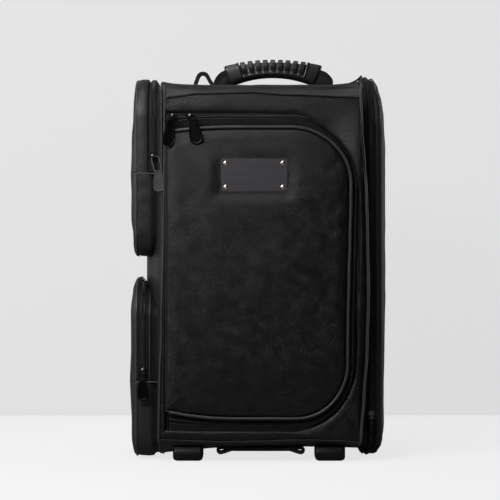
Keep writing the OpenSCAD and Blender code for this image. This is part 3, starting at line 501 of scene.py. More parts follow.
def ring_points(left, right, low, high, r_low, r_high, r_left):
    """An outline in (x, z), clockwise from its upper left; its radii: low right, high right, both left corners."""
    def arc(x, z, r, start, steps, count):
        """Points round a corner, from start quarter turns on."""
        turns = [math.pi / 2 * (start - i / steps) for i in range(count)]
        return [(x + r * math.cos(a), z + r * math.sin(a)) for a in turns]

    def edge(p, q, count):
        return [mix(p, q, i / count) for i in range(count)]

    near, far_high, far_low = left + r_left, right - r_high, right - r_low
    pts = edge((near, high), (far_high, high), NT) + arc(far_high, high - r_high, r_high, 1, NC, NC)
    pts += edge((right, high - r_high), (right, low + r_low), NR) + arc(far_low, low + r_low, r_low, 0, NC, NC)
    pts += edge((far_low, low), (near, low), NT) + arc(near, low + r_left, r_left, -1, LEFT_ARC, LEFT_ARC)
    pts += edge((left, low + r_left), (left, high - r_left), NL)
    pts += arc(near, high - r_left, r_left, 2, LEFT_ARC, LEFT_ARC + 1)
    return pts[:-1] if pts[-1] == pts[0] else pts


D_LEAN = [(64, -1.6), (104, -2.6), (148, -1.8), (206, -1.2), (264, 0.2), (321, 1.7), (379, 3.0), (437, 3.4), (490, 1.6)]


def d_warp(x, z, g):
    """The door and its opening as they really lie: drawn in at the hinge, leaning at the free side."""
    near = clamp(1 - 2 * g)
    q = clamp((-40 - x) / 100) ** 2 * clamp(1 - g)
    high, low = clamp((z - 300) / 190), clamp((250 - z) / 190)
    dx = table(z, D_LEAN) * clamp(x / 127) ** 1.5 if x > 0 else 0.0
    return x + dx, z - (7 * q + 3.2 * near) * high + (11 * q - 3.2 * near) * low


def d_ring(g, inset=0.0):
    """The D-shaped outline, from the door's edge at 0 to the frame's edge at 1."""
    grow = 11.6 * g - inset
    pts = ring_points(HINGE_X + 0.3 + max(inset, 0), DOOR_X + grow, DOOR_Z - 21 * g + inset, DOOR_TOP + 23 * g - inset,
                      DOOR_R_LOW + grow, DOOR_R_TOP + grow, 0.4)
    return [d_warp(x, z, g) for x, z in pts]


def open_d(g, depth, inset=0.0):
    """The D-shaped outline without its hinge side, as points (x, y, z) at depth(x)."""
    return [(x, depth(x), z) for x, z in d_ring(g, inset)[:OPEN_D]]


def opening_ring():
    """The frame's edge, which covers more of the zip at its upper right bend than down its side."""
    out = []
    for i, (p, q) in enumerate(zip(d_ring(0), d_ring(1))):
        if i < NT:
            g = 0.8 - 0.12 * i / NT
        elif i < NT + NC:
            t = (i - NT) / NC
            g = 0.68 - 0.36 * math.sin(math.pi * t) - 0.1 * t
        elif i < NT + NC + NR:
            g = table((i - NT - NC) / NR, [(0, 0.58), (0.14, 1.0), (0.3, 1.15), (0.85, 1.1), (1, 0.92)])
        elif i < NT + NC + NR + NC:
            g = 0.92 - 0.16 * math.sin(math.pi * (i - NT - NC - NR) / NC)
        else:
            g = 0.93
        out.append(mix(p, q, g))
    return out


def seam_height(x, z):
    """The shoulder and bottom seams across the front."""
    if z > 300:
        return table(x, [(-141, 529), (-90, 534.5), (-18, 536), (40, 532.5), (134, 529)])
    return table(x, [(-146, 31), (-60, 28.5), (0, 29), (40, 30.5), (70, 30.8), (110, 30), (140, 27.5)])


def seam_ring():
    out = []
    for x, z in ring_points(-HALF_W + 1, HALF_W - 1, 26, 532, 3, 3, 3):
        bx, _ = bow(x, z)
        if z > 525:
            z = seam_height(x, 532) - (532 - z)
        elif z < 33:
            z = seam_height(x, 26) + (z - 26)
        out.append((bx, z))
    return out


def corner_swell(x, z):
    """How far the panel swells out beside the door's upper free corner."""
    return 8.4 * smooth((x - 94) / 48) * smooth((534 - z) / 85) * smooth((z - 385) / 50)


def side_sink(x, z):
    """How far the panel is drawn in between the door's free side and the body's edge."""
    return 5.4 * smooth((x - 112) / 14) * smooth((455 - z) / 50) * smooth((z - 34) / 40)


def body_ring(y, inset, share=0.35):
    r = table(y, [(-100, 4.5), (-60, 9), (100, 9)]) - clamp(inset, 0, 4)
    pts = ring_points(-HALF_W + inset, HALF_W - inset, BODY_Z + inset, BODY_TOP - inset, r, r, r)
    out = []
    for x, z in pts:
        bx, bz = bow(x, z, share)
        if x < 0:
            bx -= 6.5 * share * smooth((z - 500) / 45)
        sag = table(x, [(-146, 7.0), (-134, 5.5), (-88, 3.0), (-62, 2.0), (0, 1.0), (140, 0.6)])
        out.append((bx, y, bz - sag * share * smooth((40 - z) / 22)))
    return out


def roughen(ob, amount):
    """Moves a mesh's points along their normals by amount(x, y, z) in mm."""
    for v in ob.data.vertices:
        v.co += v.normal * (amount(*(v.co * 1000 - SHIFT)) * 0.001)


def build_body():
    seam = seam_ring()
    back = body_ring(BACK, 4.5, 0.2)
    middle = Vector((0, BACK + 1.2, MID_Z))
    rings = [[Vector(p).lerp(middle, 1 - k) + Vector((0, 1.2 * (1 - k), 0)) for p in back] for k in (0.25, 0.6, 0.9)]
    rings.append(back)
    for y, inset, share in ((113.2, 1.2, 0.25), (110, 0, 0.3), (60, -0.6, 0.35), (0, -0.8, 0.4), (-60, -0.4, 0.6),
                            (-92, 0, 0.9)):
        rings.append(body_ring(y, inset, share))
    # It rolls over the front edge to the seam
    roll_y = -98
    roll = body_ring(roll_y, 0, 1.0)
    for k in range(1, 11):
        t = k / 10
        turn = 0.06 * math.sin(math.pi * t)
        line = [mix((x, z), s, t - turn) for (x, _, z), s in zip(roll, seam)]
        rings.append([(x, roll_y - 18.2 * (t + turn), z) for x, z in line])
    # Its folded lip over the front panel
    for push, y in ((0.6, -116.2), (1.1, -116.0), (1.2, -114.6), (0.4, -113.4)):
        rings.append([(x - push * (1 if x > 0 else -1) * 0.4, y, z - push * (1 if z > MID_Z else -1)) for x, z in seam])
    shell = piece("body_shell", loft(rings, True, (True, False)), LEATHER, "case",
                  ("base_panel", "top_panel", "back_panel", "left_side_panel", "right_side_panel"))
    roughen(shell, lambda x, y, z: (0.4 if y < -97 else 0.7) * ripple(x, y, z, 34))

    # The front panel between the seams and the door's opening
    opening = opening_ring()
    rings = []
    for k, y in ((-0.02, -113.4), (0.03, -114.0), (0.12, -114.8), (0.3, -115.8), (0.6, -116.5), (0.8, -116.3),
                 (0.9, -115.8), (0.97, -114.8), (1.0, -113.2)):
        ring = []
        for s, d in zip(seam, opening):
            x, z = mix(s, d, k)
            depth = y - 0.6 * ripple(s[0], 0, s[1], 40, 3.0) * clamp(4 * k) - corner_swell(x, z) * smooth(k / 0.1)
            ring.append((x, depth + side_sink(x, z) * smooth(k / 0.04) * (1 - 0.75 * k), z))
        rings.append(ring)
    inner = ring_points(-139.5, 139.5, 27, 544, 4, 4, 4)
    rings += [laid(opening, -111.5), laid(opening, -107.8), laid(inner, -107.8)]
    fix_normals(piece("front_panel", loft(rings), SAFFIANO, "case", ("front_frame",)))

    # Piping down the two front edges, in the lighter leather copy whose lightness is painted sheen
    parts = []
    for side, r in ((-1, 1.6), (1, 2.1)):
        line = []
        for i in range(90):
            z = 30 + 511 * i / 89
            line.append((bow(side * (HALF_W - 1), z)[0] + side * 0.4, -115.2, z))
        low, high = line[0][0], line[-1][0]
        path = [(low - side * 2, -113.5, 24.5), *line, (high + side, -110, 545), (high + side * 2, -100, 548.5)]
        parts.append(sweep(path, circle(r, 10), FORWARD))
    piece("front_piping", merge(parts), BINDING_PAINTED_SHEEN, "case")

    # Stitches along the shoulder's lip and the bottom's
    lines = [[(x, seam_height(x, z) + past) for x in range(-138, 137, 4)] for z, past in ((532, 0.3), (26, -0.3))]
    stitches = [rows(laid(line, -116.2), FORWARD, 4.6, (3.2, 1.5, 0.9), lift=0.25) for line in lines]
    piece("front_stitches", merge(stitches), THREAD, "case")

    # Back edge piping, and the back panel's welts
    edge_y = 112.6
    edge = [(p[0], edge_y, p[2]) for p in body_ring(edge_y, 0.4, 0.25)]
    piece("back_piping", sweep(edge, circle(1.8), (0, 1, 0), closed=True), BINDING_PAINTED_SHEEN, "case")
    welt_x, welt_top = 112, 505
    lines = [[(s * welt_x, 116.3, 62), (s * welt_x, 117.4, MID_Z), (s * welt_x, 116.3, welt_top)] for s in (-1, 1)]
    lines.append([(-welt_x + 2 * welt_x * i / 50, 117.4, welt_top) for i in range(51)])
    piece("back_welts", merge([sweep(line, circle(1.2), (0, 1, 0)) for line in lines]), BINDING_PAINTED_SHEEN, "case")


def build_interior():
    """The lining as a soft open box, and the two padded shelves."""
    def box_ring(y, inset, r):
        return laid(ring_points(-138.6 + inset, 138.6 - inset, 28.2 + inset, 542.8 - inset, r, r, r), y)

    rings = [box_ring(-107.6, -0.6, 4)] + [box_ring(y, 0.2, 5) for y in (-104, -80, -50, -20, 10, 40, 64)]
    rings += [box_ring(73, 1.0, 6), box_ring(76.4, 5, 6)]
    for k in (0.7, 0.35, 0.05):
        rings.append([(x * k, y, MID_Z + (z - MID_Z) * k) for x, y, z in box_ring(76.6, 6, 6)])
    lining = piece("lining", loft(rings, True, (False, True)), LINING, "case", ("main_lining",))
    roughen(lining, lambda x, y, z: -0.9 * abs(ripple(x, y, z, 30, 5.0)))
    fix_normals(lining)
    for f in lining.data.polygons:
        f.flip()

    half, front, back, thick = 137, -104.5, 75.5, 4.5
    for name, z in (("lower", 190.0), ("upper", 361.0)):
        pts = []
        for k in range(33):
            y = front + (back - front) * k / 32
            row = []
            for i in range(61):
                x = -half + 2 * half * i / 60
                rise = 3.6 * smooth(min(half - abs(x), y - front, back - y) / 9) ** 0.5 + 0.8
                quilt = min(abs((x + half) % 45.66 - 22.83), abs((y - front) % 45 - 22.5))
                row.append((x, y, z + thick + rise - 0.5 * (1 - smooth(quilt / 5)) - 0.2))
            pts.append(row)
        top, faces = grid(pts)
        under = [(x, y, 2 * (z + thick) - high) for x, y, high in top], [tuple(reversed(f)) for f in faces]
        shelf = piece(name + "_padded_shelf", merge([(top, faces), under]), LINING, "case",
                      (name + "_shelf",))
        fix_normals(shelf, 1.7)


# The door's two round corners: radius, height of the centre, and whether the corner lies above it
DOOR_BENDS = ((DOOR_R_TOP, DOOR_TOP - DOOR_R_TOP, 1), (DOOR_R_LOW, DOOR_Z + DOOR_R_LOW, -1))


def d_distance(x, z):
    """Distance of a point inside the door's padded face to the face's edge."""
    e = DOOR_EDGE
    for r, middle, above in DOOR_BENDS:
        if x > DOOR_X - r and (z - middle) * above > 0:
            return r - e - math.hypot(x - DOOR_X + r, z - middle)
    return min(x - FACE_X, DOOR_X - e - x, DOOR_TOP - e - z, z - DOOR_Z - e)


def door_right(z):
    for r, middle, above in DOOR_BENDS:
        if (z - middle) * above > 0:
            return DOOR_X - r + math.sqrt(max(0.0, (r - DOOR_EDGE) ** 2 - (z - middle) ** 2))
    return DOOR_X - DOOR_EDGE


def build_door():
    # The padded face is a grid whose rows crowd at the round corners
    (high_r, high_z, _), (low_r, low_z, _) = DOOR_BENDS
    turns = [math.pi / 2 * i / 26 for i in range(27)]
    zs = [DOOR_Z + DOOR_EDGE + (low_r - DOOR_EDGE) * (1 - math.cos(a)) for a in turns[:-1]]
    zs += [low_z + (high_z - low_z) * i / 60 for i in range(60)]
    zs += [high_z + (high_r - DOOR_EDGE) * math.sin(a) for a in turns]
    cols = 64
    plate_x, plate_z, plate_y = -12, 416, -122.5
    pts = []
    for z in zs:
        row = []
        wide = door_right(z) - FACE_X
        for i in range(cols + 1):
            u = 0.5 - 0.5 * math.cos(math.pi * i / cols)
            x = FACE_X + wide * (u * 0.4 + i / cols * 0.6)
            d = d_distance(x, z)
            puff = 4.6 * math.sqrt(max(0.0, 1 - (1 - clamp(d / 9)) ** 2)) + 4.4 * smooth(d / 80)
            wx, wz = d_warp(x, z, 0)
            y = -116.8 - puff - 0.6 * ripple(x, 0, z, 55, 1.0) * smooth(d / 25)
            # The padding is pressed flat under the plate
            off = math.hypot(max(0.0, abs(wx - plate_x) - 49), max(0.0, abs(wz - plate_z) - 25))
            row.append((wx, y + (max(y, plate_y) - y) * smooth(1 - off / 16), wz))
        pts.append(row)
    door = piece("door_padding", grid(pts), SAFFIANO, "front_door", ("front_door_panel",))
    inflate(door, rim_points(len(zs) - 1, cols), 0.5, 1.0)

    # The rim round the face, its piping and its back
    edges = ((0.3, -113.0), (0.2, -116.5), (0.8, -118.2), (2.2, -118.4), (3.2, -116.6), (DOOR_EDGE + 0.6, -116.4))
    rings = [laid(d_ring(0, inset), y) for inset, y in edges]
    piece("door_rim", loft(rings), LEATHER, "front_door")
    path = open_d(0, lambda x: -118.9, 1.5)
    piece("door_piping", sweep(path, circle(2.3, 12), FORWARD), BINDING_PAINTED_SHEEN, "front_door")
    ring = d_ring(0, 1.2)
    rings = [laid(ring, -112.9)]
    for k in (0.96, 0.8, 0.5, 0.1):
        rings.append([(-7 + (x + 7) * k, -112.2 + 0.4 * ripple(x * k, 0, z * k, 25, 2.0), 277 + (z - 277) * k)
                      for x, z in ring])
    fix_normals(piece("door_lining", loft(rings, True, (False, True)), LINING, "front_door",
                      ("front_door_lining",)))


def tape_y(x, g=0.0):
    """The zip lies a little deeper down the door's free side, most of all beside the frame."""
    return TAPE_Y + (2.6 + 10 * clamp(g - 0.5)) * smooth((x - 50) / 60)


def build_front_zip():
    """Two woven tape halves with ribs along them, and a row of teeth on each."""
    for name, first, width, steps, body, node in (
        ("door_zip_tape", 0.02, 0.43, 12, "front_door", "front_zip_inner"),
        ("frame_zip_tape", 0.55, 0.6, 14, "case", "front_zip_outer"),
    ):
        rings = []
        for k in range(steps + 1):
            g = first + width * k / steps
            rib = (0.32 if k % 2 else -0.15) - 0.7 * (1 - abs(g - 0.5) / 0.5) ** 3
            rings.append(open_d(g, lambda x: tape_y(x, g) - 0.35 + rib))
        piece(name, grid(rings), TAPE, body, (node,), solid=0.6)
    for name, sign, body, start in (("door", -1, "front_door", 0.0), ("frame", 1, "case", 1.0)):
        path = open_d(0.5 + sign * 0.025, lambda x: tape_y(x) - 1.3)
        teeth = rows(path, FORWARD, 2.0, (3.0, 1.1, 1.2), offset=sign * 0.7, along=False, start=start)
        cord = sweep(open_d(0.5 + sign * 0.115, lambda x: tape_y(x) - 0.9), circle(0.6), FORWARD)
        piece(name + "_zip_teeth", merge([teeth, cord]), COIL, body)
    for name, g, body in (("frame", 0.7, "case"), ("door", 0.16, "front_door")):
        line = open_d(g, lambda x: tape_y(x, g) - 0.9)
        piece(name + "_zip_stitches", rows(line, FORWARD, 4.0, (2.9, 0.7, 0.6), lift=0.1), THREAD, body)


# ---------------------------------------------------------------- flanks


class Form:
    """A flank form in (y, z) with rounded corners."""

    def __init__(self, width, low, high, r_low, r_high, steps=3.0):
        self.half, self.low, self.high, self.r_low, self.r_high = width / 2, low, high, r_low, r_high
        pts = []
        for cy, cz, start in CORNERS:
            r, z = (r_high, high - r_high) if cz > 0 else (r_low, low + r_low)
            n = max(6, int(r * math.pi / 2 / steps))
            for i in range(n + 1):
                a = math.radians(start + 90 * i / n)
                pts.append((cy * (self.half - r) + r * math.cos(a), z + r * math.sin(a)))
        self.outline = []
        for p, q in zip(pts, pts[1:] + pts[:1]):
            n = max(1, int(math.hypot(q[0] - p[0], q[1] - p[1]) / steps))
            self.outline += [mix(p, q, k / n) for k in range(n)]

    def bend(self, z):
        """At a height: the corner radius, the height past the corner's centre, and its sign."""
        above, below = z - self.high + self.r_high, self.low + self.r_low - z
        if above > 0:
            return self.r_high, above, 1
        return (self.r_low, below, -1) if below > 0 else (0.0, 0.0, 0)

    def normal(self, y, z):
        r, past, sign = self.bend(z)
        if not sign:
            return Vector((math.copysign(1, y), 0))
        v = Vector((math.copysign(max(0.0, abs(y) - self.half + r), y), sign * past))
        return v.normalized()

    def width_at(self, z):
        r, past, _ = self.bend(z)
        return self.half - r + math.sqrt(max(0.0, r * r - past * past))

    def distance(self, y, z):
        r, past, _ = self.bend(z)
        if r and abs(y) > self.half - r:
            return r - math.hypot(abs(y) - self.half + r, past)
        return min(self.half - abs(y), self.high - z, z - self.low)

    def run(self, low=None, high=None):
        """The outline's points above low or below high as one open path, or the closed outline."""
        pts = self.outline
        if low is None and high is None:
            return pts, True
        keep = [(p[1] >= low) if low is not None else (p[1] <= high) for p in pts]
        start = next(i for i in range(len(pts)) if keep[i] and not keep[i - 1])
        line = [p for p, inside in zip(pts[start:] + pts[:start], keep[start:] + keep[:start]) if inside]
        cut = low if low is not None else high
        return [(line[0][0], cut)] + line + [(line[-1][0], cut)], False


def beside(form, line, x, out, drop=None, wrinkle=0.0, seed=0.0):
    """A line (y, z) of a form at x, standing out from it by out, and lowered by drop(abs(x)) over the form's top."""
    fall = drop(abs(x)) if drop else 0.0
    pts = []
    for y, z in line:
        n = form.normal(y, z)
        push = out + wrinkle * ripple(abs(x), y, z, 16, seed)
        pts.append((x, y + n[0] * push, z + n[1] * push - fall * max(0.0, n[1]) ** 1.5))
    return pts


def wall(form, side, levels, low=None, high=None, wrinkle=0.0, seed=0.0, drop=None):
    """A band round a flank form; levels are (distance from the body's middle, how far it stands out)."""
    line, closed = form.run(low, high)
    return loft([beside(form, line, side * x, out, drop, wrinkle, seed) for x, out in levels], closed)


def face_rows(form, low, high, count, cols):
    """Rows of (y, z) over a flank form between two heights, closer together at the form's own ends."""
    out = []
    for k in range(count + 1):
        a = math.pi / 2 * k / count
        if low > form.low + 0.01:
            t = math.sin(a)
        elif high < form.high - 0.01:
            t = 1 - math.cos(a)
        else:
            t = 0.5 - 0.5 * math.cos(2 * a)
        z = low + (high - low) * t
        shares = [2 * i / cols - 1 for i in range(cols + 1)]
        out.append([(form.width_at(z) * (math.sin(math.pi / 2 * u) * 0.4 + u * 0.6), z) for u in shares])
    return out


def puffed_face(form, side, low, high, edge_x, rise, crown, count, cols, seed, draw=16.0):
    """A padded outer face: from its edge at edge_x it rises over draw, and then crowns gently."""
    pts = []
    for row in face_rows(form, low, high, count, cols):
        line = []
        for y, z in row:
            d = form.distance(y, z)
            puff = rise * math.sqrt(max(0.0, 1 - (1 - clamp(d / draw)) ** 2))
            dome = (crown(y, z) + 0.7 * ripple(0, y, z, 28, seed)) * smooth(d / 14)
            line.append((side * (edge_x + puff + dome), y, z))
        pts.append(line)
    return grid(pts)


def rim_points(count, cols):
    """Indexes of a grid's outer points."""
    n = cols + 1
    return [k * n + i for k in range(count + 1) for i in range(n) if i in (0, cols) or k in (0, count)]


def outward(form):
    """The direction away from a flank form at a point (x, y, z) of it."""
    return lambda p: (0, *form.normal(p[1], p[2]))


def flank_tapes(name, form, side, zip_x, half_w, bodies, stands, low=None, drop=None, shape=lambda verts: verts):
    """The two tape halves and their teeth at zip_x."""
    up = outward(form)
    steps = 11
    for k, (sign, word, body, node) in enumerate(zip((-1, 1), ("gusset", "flap"), bodies, stands)):
        levels = []
        for i in range(steps + 1):
            x = zip_x + sign * (0.5 + (half_w - 0.5) * i / steps)
            levels.append((x, 0.6 + (0.22 if i % 2 else -0.14) + 0.8 * (1 - i / steps) ** 3))
        start = low + 0.5 * k if low is not None else None
        verts, faces = wall(form, side, levels, low=start, drop=drop)
        piece(f"{name}_{word}_tape", (shape(verts), faces), TAPE, body, (node,), solid=0.6)
        line, closed = form.run(start)
        path = beside(form, line, side * (zip_x + sign * 0.9), 2.0, drop)
        teeth = rows(path, up, 1.9, (2.8, 1.0, 1.2), along=False, closed=closed, start=0.95 * k)
        cord = sweep([(x + side * sign * 1.9, y, z) for x, y, z in path], circle(0.55, 6), up, closed=closed)
        verts, faces = merge([teeth, cord])
        piece(f"{name}_{word}_teeth", (shape(verts), faces), COIL, body)


def build_flank_pad():
    half_y, low, high = 112, 30, 541
    # The crown's circles across and along the flank
    across, along, rise = 291.5, 1773.6, 24

    def crown(y, z):
        plan = rise - (across - math.sqrt(across ** 2 - y * y))
        height = rise - (along - math.sqrt(along ** 2 - (z - 285.5) ** 2))
        return min(plan, height) + 4.5 * smooth(1 - abs(y) / 85) * smooth(1 - abs(z - MID_Z) / 200)

    pts = []
    for k in range(73):
        z = low + (high - low) * (0.5 - 0.5 * math.cos(math.pi * k / 72))
        row = []
        for i in range(49):
            y = -half_y + 2 * half_y * (0.5 - 0.5 * math.cos(math.pi * i / 48))
            edge = clamp(min(half_y - abs(y), z - low, high - z) / 6)
            swell = crown(y, z) * math.sqrt(1 - (1 - edge) ** 2)
            row.append((-HALF_W + 0.5 - swell - 0.5 * ripple(0, y, z, 30, 7.0) * edge, y, z))
        pts.append(row)
    piece("left_flank_padding", grid(pts), LEATHER, "case", ("left_flank_pad",))


def build_pocket(word, form, zip_x, half_w, seam, crown, drop, seed):
    """A pocket: gusset and lower half on the case, upper half on its flap."""
    lid, start = word + "_pocket_flap", seam + 0.5
    up = outward(form)
    near, far = zip_x - half_w, zip_x + half_w
    banded = far < 178

    def face(name, low, high, count, body, noise_seed):
        shape = puffed_face(form, -1, low, high, POCKET_X, 9.2, crown, count, 36, noise_seed)
        ob = piece(word + name, shape, LEATHER, body)
        inflate(ob, rim_points(count, 36), 1.2, 1.2)

    def inside(low, high):
        return puffed_face(form, -1, low, high, POCKET_X - 2, 8.0, lambda y, z: crown(y, z) - 1.2, 20, 20, seed)

    # Gusset band beside the body, recessed where it meets the body
    levels = [(HALF_W - 1, -1.0), (HALF_W + 2, -3.4), (HALF_W + 5.5, -3.6), (max(HALF_W + 6.2, near - 1.6), -0.6),
              (near - 0.8, 0.5), (near - 0.2, -0.2)]
    arch = wall(form, -1, levels, low=seam, wrinkle=0.4, seed=seed, drop=drop)
    levels = [(HALF_W - 1, -1.0), (HALF_W + 2, -3.0), (152, -4.4), (156.5, -4.0), (160, 0.2), (166, 1.2), (174, 1.0),
              (180, 0.6), (POCKET_X, 0.0)]
    lower = wall(form, -1, levels, high=seam, wrinkle=0.9, seed=seed)
    fix_normals(piece(word + "_pocket_body_leather", merge([arch, lower]), LEATHER, "case",
                      (word + "_pocket_body",)))
    face("_pocket_face", form.low, seam, 30, "case", seed)
    # Flap: band outside the zip and the puffed face
    levels = [(far - 0.2, -0.2), (POCKET_X + 0.4, 0.0)]
    if banded:
        levels = [(far + 0.1, -1.6), (far + 0.9, -1.2), (far + 1.6, 0.9), (far + 3.0, 1.5), (176, 1.4), (181, 1.0),
                  (POCKET_X, 0.0)]
    band = wall(form, -1, levels, low=start, wrinkle=0.4, seed=seed + 1, drop=drop)
    piece(word + "_flap_band", band, LEATHER, lid, (word + "_flap",))
    face("_flap_face", start, form.high, 36, lid, seed + 1)
    inner = wall(form, -1, [(far, -2.4), (POCKET_X - 1, -2.6), (POCKET_X + 1, -4.0)], low=start, drop=drop)
    piece(word + "_flap_lining", merge([inner, inside(start, form.high)]), LINING, lid)
    inner = wall(form, -1, [(HALF_W + 2, -4.6), (near, -3.0)], low=seam, drop=drop)
    low_in = wall(form, -1, [(HALF_W + 2, -7.0), (160, -6.4), (166, -3.2), (POCKET_X, -3.2)], high=seam)
    piece(word + "_pocket_lining", merge([inner, low_in, inside(form.low, seam)]), LINING, "case")
    # The welt where the face meets the gusset
    line, _ = form.run(low=start)
    path = [(-POCKET_X - 0.4, y - form.normal(y, z)[0] * 0.8, z - form.normal(y, z)[1] * 1.3) for y, z in line]
    piece(word + "_flap_piping", sweep(path, circle(1.5), up), BINDING_PAINTED_SHEEN, lid)
    line, _ = form.run(high=seam)
    parts = [sweep([(-POCKET_X - 0.4, y, z) for y, z in line], circle(1.5), up)]
    # The seam below the zip, across the gusset
    bar = curve_through([(-HALF_W - 2, -95.2, seam - 1), (-160, -96.4, seam - 1.3), (-172, -96.3, seam - 1),
                         (-183, -95.8, seam - 0.6)])
    parts += [sweep([(x, sign * y, z) for x, y, z in bar], circle(1.3), (0, -sign, 0)) for sign in (1, -1)]
    arch_line, _ = form.run(low=seam)
    if not banded:
        # A folded edge beside the zip
        parts.append(sweep(beside(form, arch_line, 1.0 - near, 0.9, drop), circle(1.1), up))
    piece(word + "_pocket_piping", merge(parts), BINDING_PAINTED_SHEEN, "case")
    # Stitches on the bands either side of the tape
    for name, x, body, low in (("_flap_stitches", far + 2.2, lid, start),
                               ("_gusset_stitches", near - 4.4, "case", seam)):
        if HALF_W + 8 <= x <= 180:
            path = beside(form, form.run(low=low)[0], -x, 1.45, drop)
            piece(word + name, rows(path, up, 4.2, (3.0, 0.8, 0.6), lift=0.15), THREAD, body)
    flank_tapes(word, form, -1, zip_x, half_w, ("case", lid), (word + "_pocket_zip", word + "_flap_zip"), seam, drop)


def build_side():
    form = Form(190, 6, 565, 40, 75)
    zip_x = 159.5
    up = outward(form)

    def taper(verts):
        """The compartment gets flatter towards its top and bottom."""
        flatness = [(4, 0.6), (10, 0.78), (22, 0.92), (48, 1.0), (474, 1.0), (500, 0.965), (528, 0.9), (545, 0.8),
                    (566, 0.62)]
        return [(HALF_W + (x - HALF_W) * table(z, flatness), y, z) for x, y, z in verts]

    def drop(x):
        return table(x, [(144, 5.0), (147, 3.0), (150, 0.6), (153, -0.8), (158, 0.4), (162, 0.7), (166, 1.9),
                         (171, 3.6), (176, 6.0)])

    def made(name, shape, mat, body, stands=()):
        return piece("side_" + name, (taper(shape[0]), shape[1]), mat, body, stands)

    def crown(y, z):
        return -1.6 - 6.0 * clamp((230 - z) / 220) ** 1.5 - 1.2 * clamp((z - 400) / 160)

    # The compartment's gusset, band, face and piping use the darker leather copy, which is painted shade.
    levels = [(HALF_W - 2, -0.6), (HALF_W + 2, -0.8), (zip_x - 8.2, 0.4), (zip_x - 6.8, 0.6), (zip_x - 6.1, -0.4)]
    fix_normals(made("gusset", wall(form, 1, levels, wrinkle=0.3, seed=11, drop=drop), PAINTED_SHADE_LEATHER, "case",
                     ("side_compartment_body",)))
    inner = wall(form, 1, [(HALF_W + 1, -3.0), (zip_x - 6.1, -3.0)], drop=drop)
    pts = [[(HALF_W + 5.0 + 0.5 * ripple(0, y, z, 25, 4.0), y, z) for y, z in row]
           for row in face_rows(form, form.low, form.high, 40, 20)]
    made("compartment_lining", merge([inner, grid(pts)]), LINING, "case")
    levels = [(zip_x + 6.1, -0.6), (zip_x + 6.8, 0.4), (zip_x + 8.5, 1.0), (170, 0.9), (SIDE_X, 0.0)]
    made("door_band", wall(form, 1, levels, wrinkle=0.5, seed=12, drop=drop), PAINTED_SHADE_LEATHER, "side_door",
         ("side_door_shell",))
    shape = puffed_face(form, 1, form.low, form.high, SIDE_X, 7.5, crown, 80, 36, 12, draw=20)
    face = made("door_face", shape, PAINTED_SHADE_LEATHER, "side_door")
    inflate(face, rim_points(80, 36), 0.8, 1.2)
    inner = wall(form, 1, [(zip_x + 6.1, -2.4), (172, -3.0)], drop=drop)
    inside = puffed_face(form, 1, form.low, form.high, 172, 6.0, lambda y, z: crown(y, z) - 1.2, 40, 20, 3)
    made("door_lining", merge([inner, inside]), LINING, "side_door")
    line = form.outline
    path = beside(form, line, SIDE_X + 0.1, 0.0, lambda x: 5.0)
    made("door_piping", sweep(path, circle(1.5), up, closed=True), BINDING_PAINTED_SHEEN, "side_door")
    path = beside(form, line, zip_x + 8.4, 1.05, drop)
    made("door_stitches", rows(path, up, 4.2, (3.0, 0.7, 0.6), lift=0.15, closed=True), THREAD, "side_door")
    path = beside(form, line, HALF_W + 2.6, 0.6, drop)
    made("gusset_piping", sweep(path, circle(1.3), up, closed=True), PAINTED_SHADE_LEATHER, "case")
    flank_tapes("side", form, 1, zip_x, 6.0, ("case", "side_door"), ("side_compartment_zip", "side_door_zip"),
                drop=drop, shape=taper)


# ---------------------------------------------------------------- handle, loops and straps


def build_grip():
    """The moulded grip: an arched bar with ribs over the middle of its upper side, and plain ends."""
    angle = math.asin(GRIP_LENGTH / 2 / GRIP_R)
    steps, around = 300, 44
    pitch, rib_half = 11.6 / GRIP_R, 6.2 / 2 / GRIP_R
    zone = 4.5 * pitch
    # A rounded rectangle's section, as a superellipse
    half_h, half_w, power = 13.5, 11.5, 2 / 3.4
    rings = []
    for k in range(steps + 1):
        a = -angle + 2 * angle * k / steps
        end = clamp(min(angle - a, angle + a) * GRIP_R / 4.0)
        cap_lip = 1.1 * math.exp(-(((abs(a) - zone - 1.5 / GRIP_R) * GRIP_R) / 1.5) ** 2)
        shrink = 2.6 * (1 - math.sqrt(1 - (1 - end) ** 2))
        grow = (6.0 if a < 0 else 7.4) * (abs(a) / angle) ** 2
        ring = []
        for i in range(around):
            t = 2 * math.pi * i / around
            h, w = (math.copysign(abs(part) ** power, part) for part in (math.cos(t), math.sin(t)))
            out = cap_lip if h > -0.55 else 0
            if abs(a) < zone:
                near = abs((a + zone) % pitch - pitch / 2)
                rib = smooth((rib_half * 1.35 - near) * GRIP_R / 0.9)
                window = (1 - rib) * smooth((h + 0.12) / 0.12)
                out += 0.6 * rib * smooth((h + 0.3) / 0.2) - 3.4 * window
                out -= 1.1 * math.exp(-((h + 0.32) / 0.07) ** 2)
            r = GRIP_R - half_h + h * (half_h - shrink + out) + grow * smooth((h + 0.2) / 0.9)
            ring.append((HANDLE_X + r * math.sin(a), w * (half_w - shrink + out), GRIP_Z + r * math.cos(a)))
        rings.append(ring)
    grip = loft(rings, True, (True, True))
    fix_normals(piece("moulded_grip", grip, GRIP, "carry_handle", ("handle_grip",)))


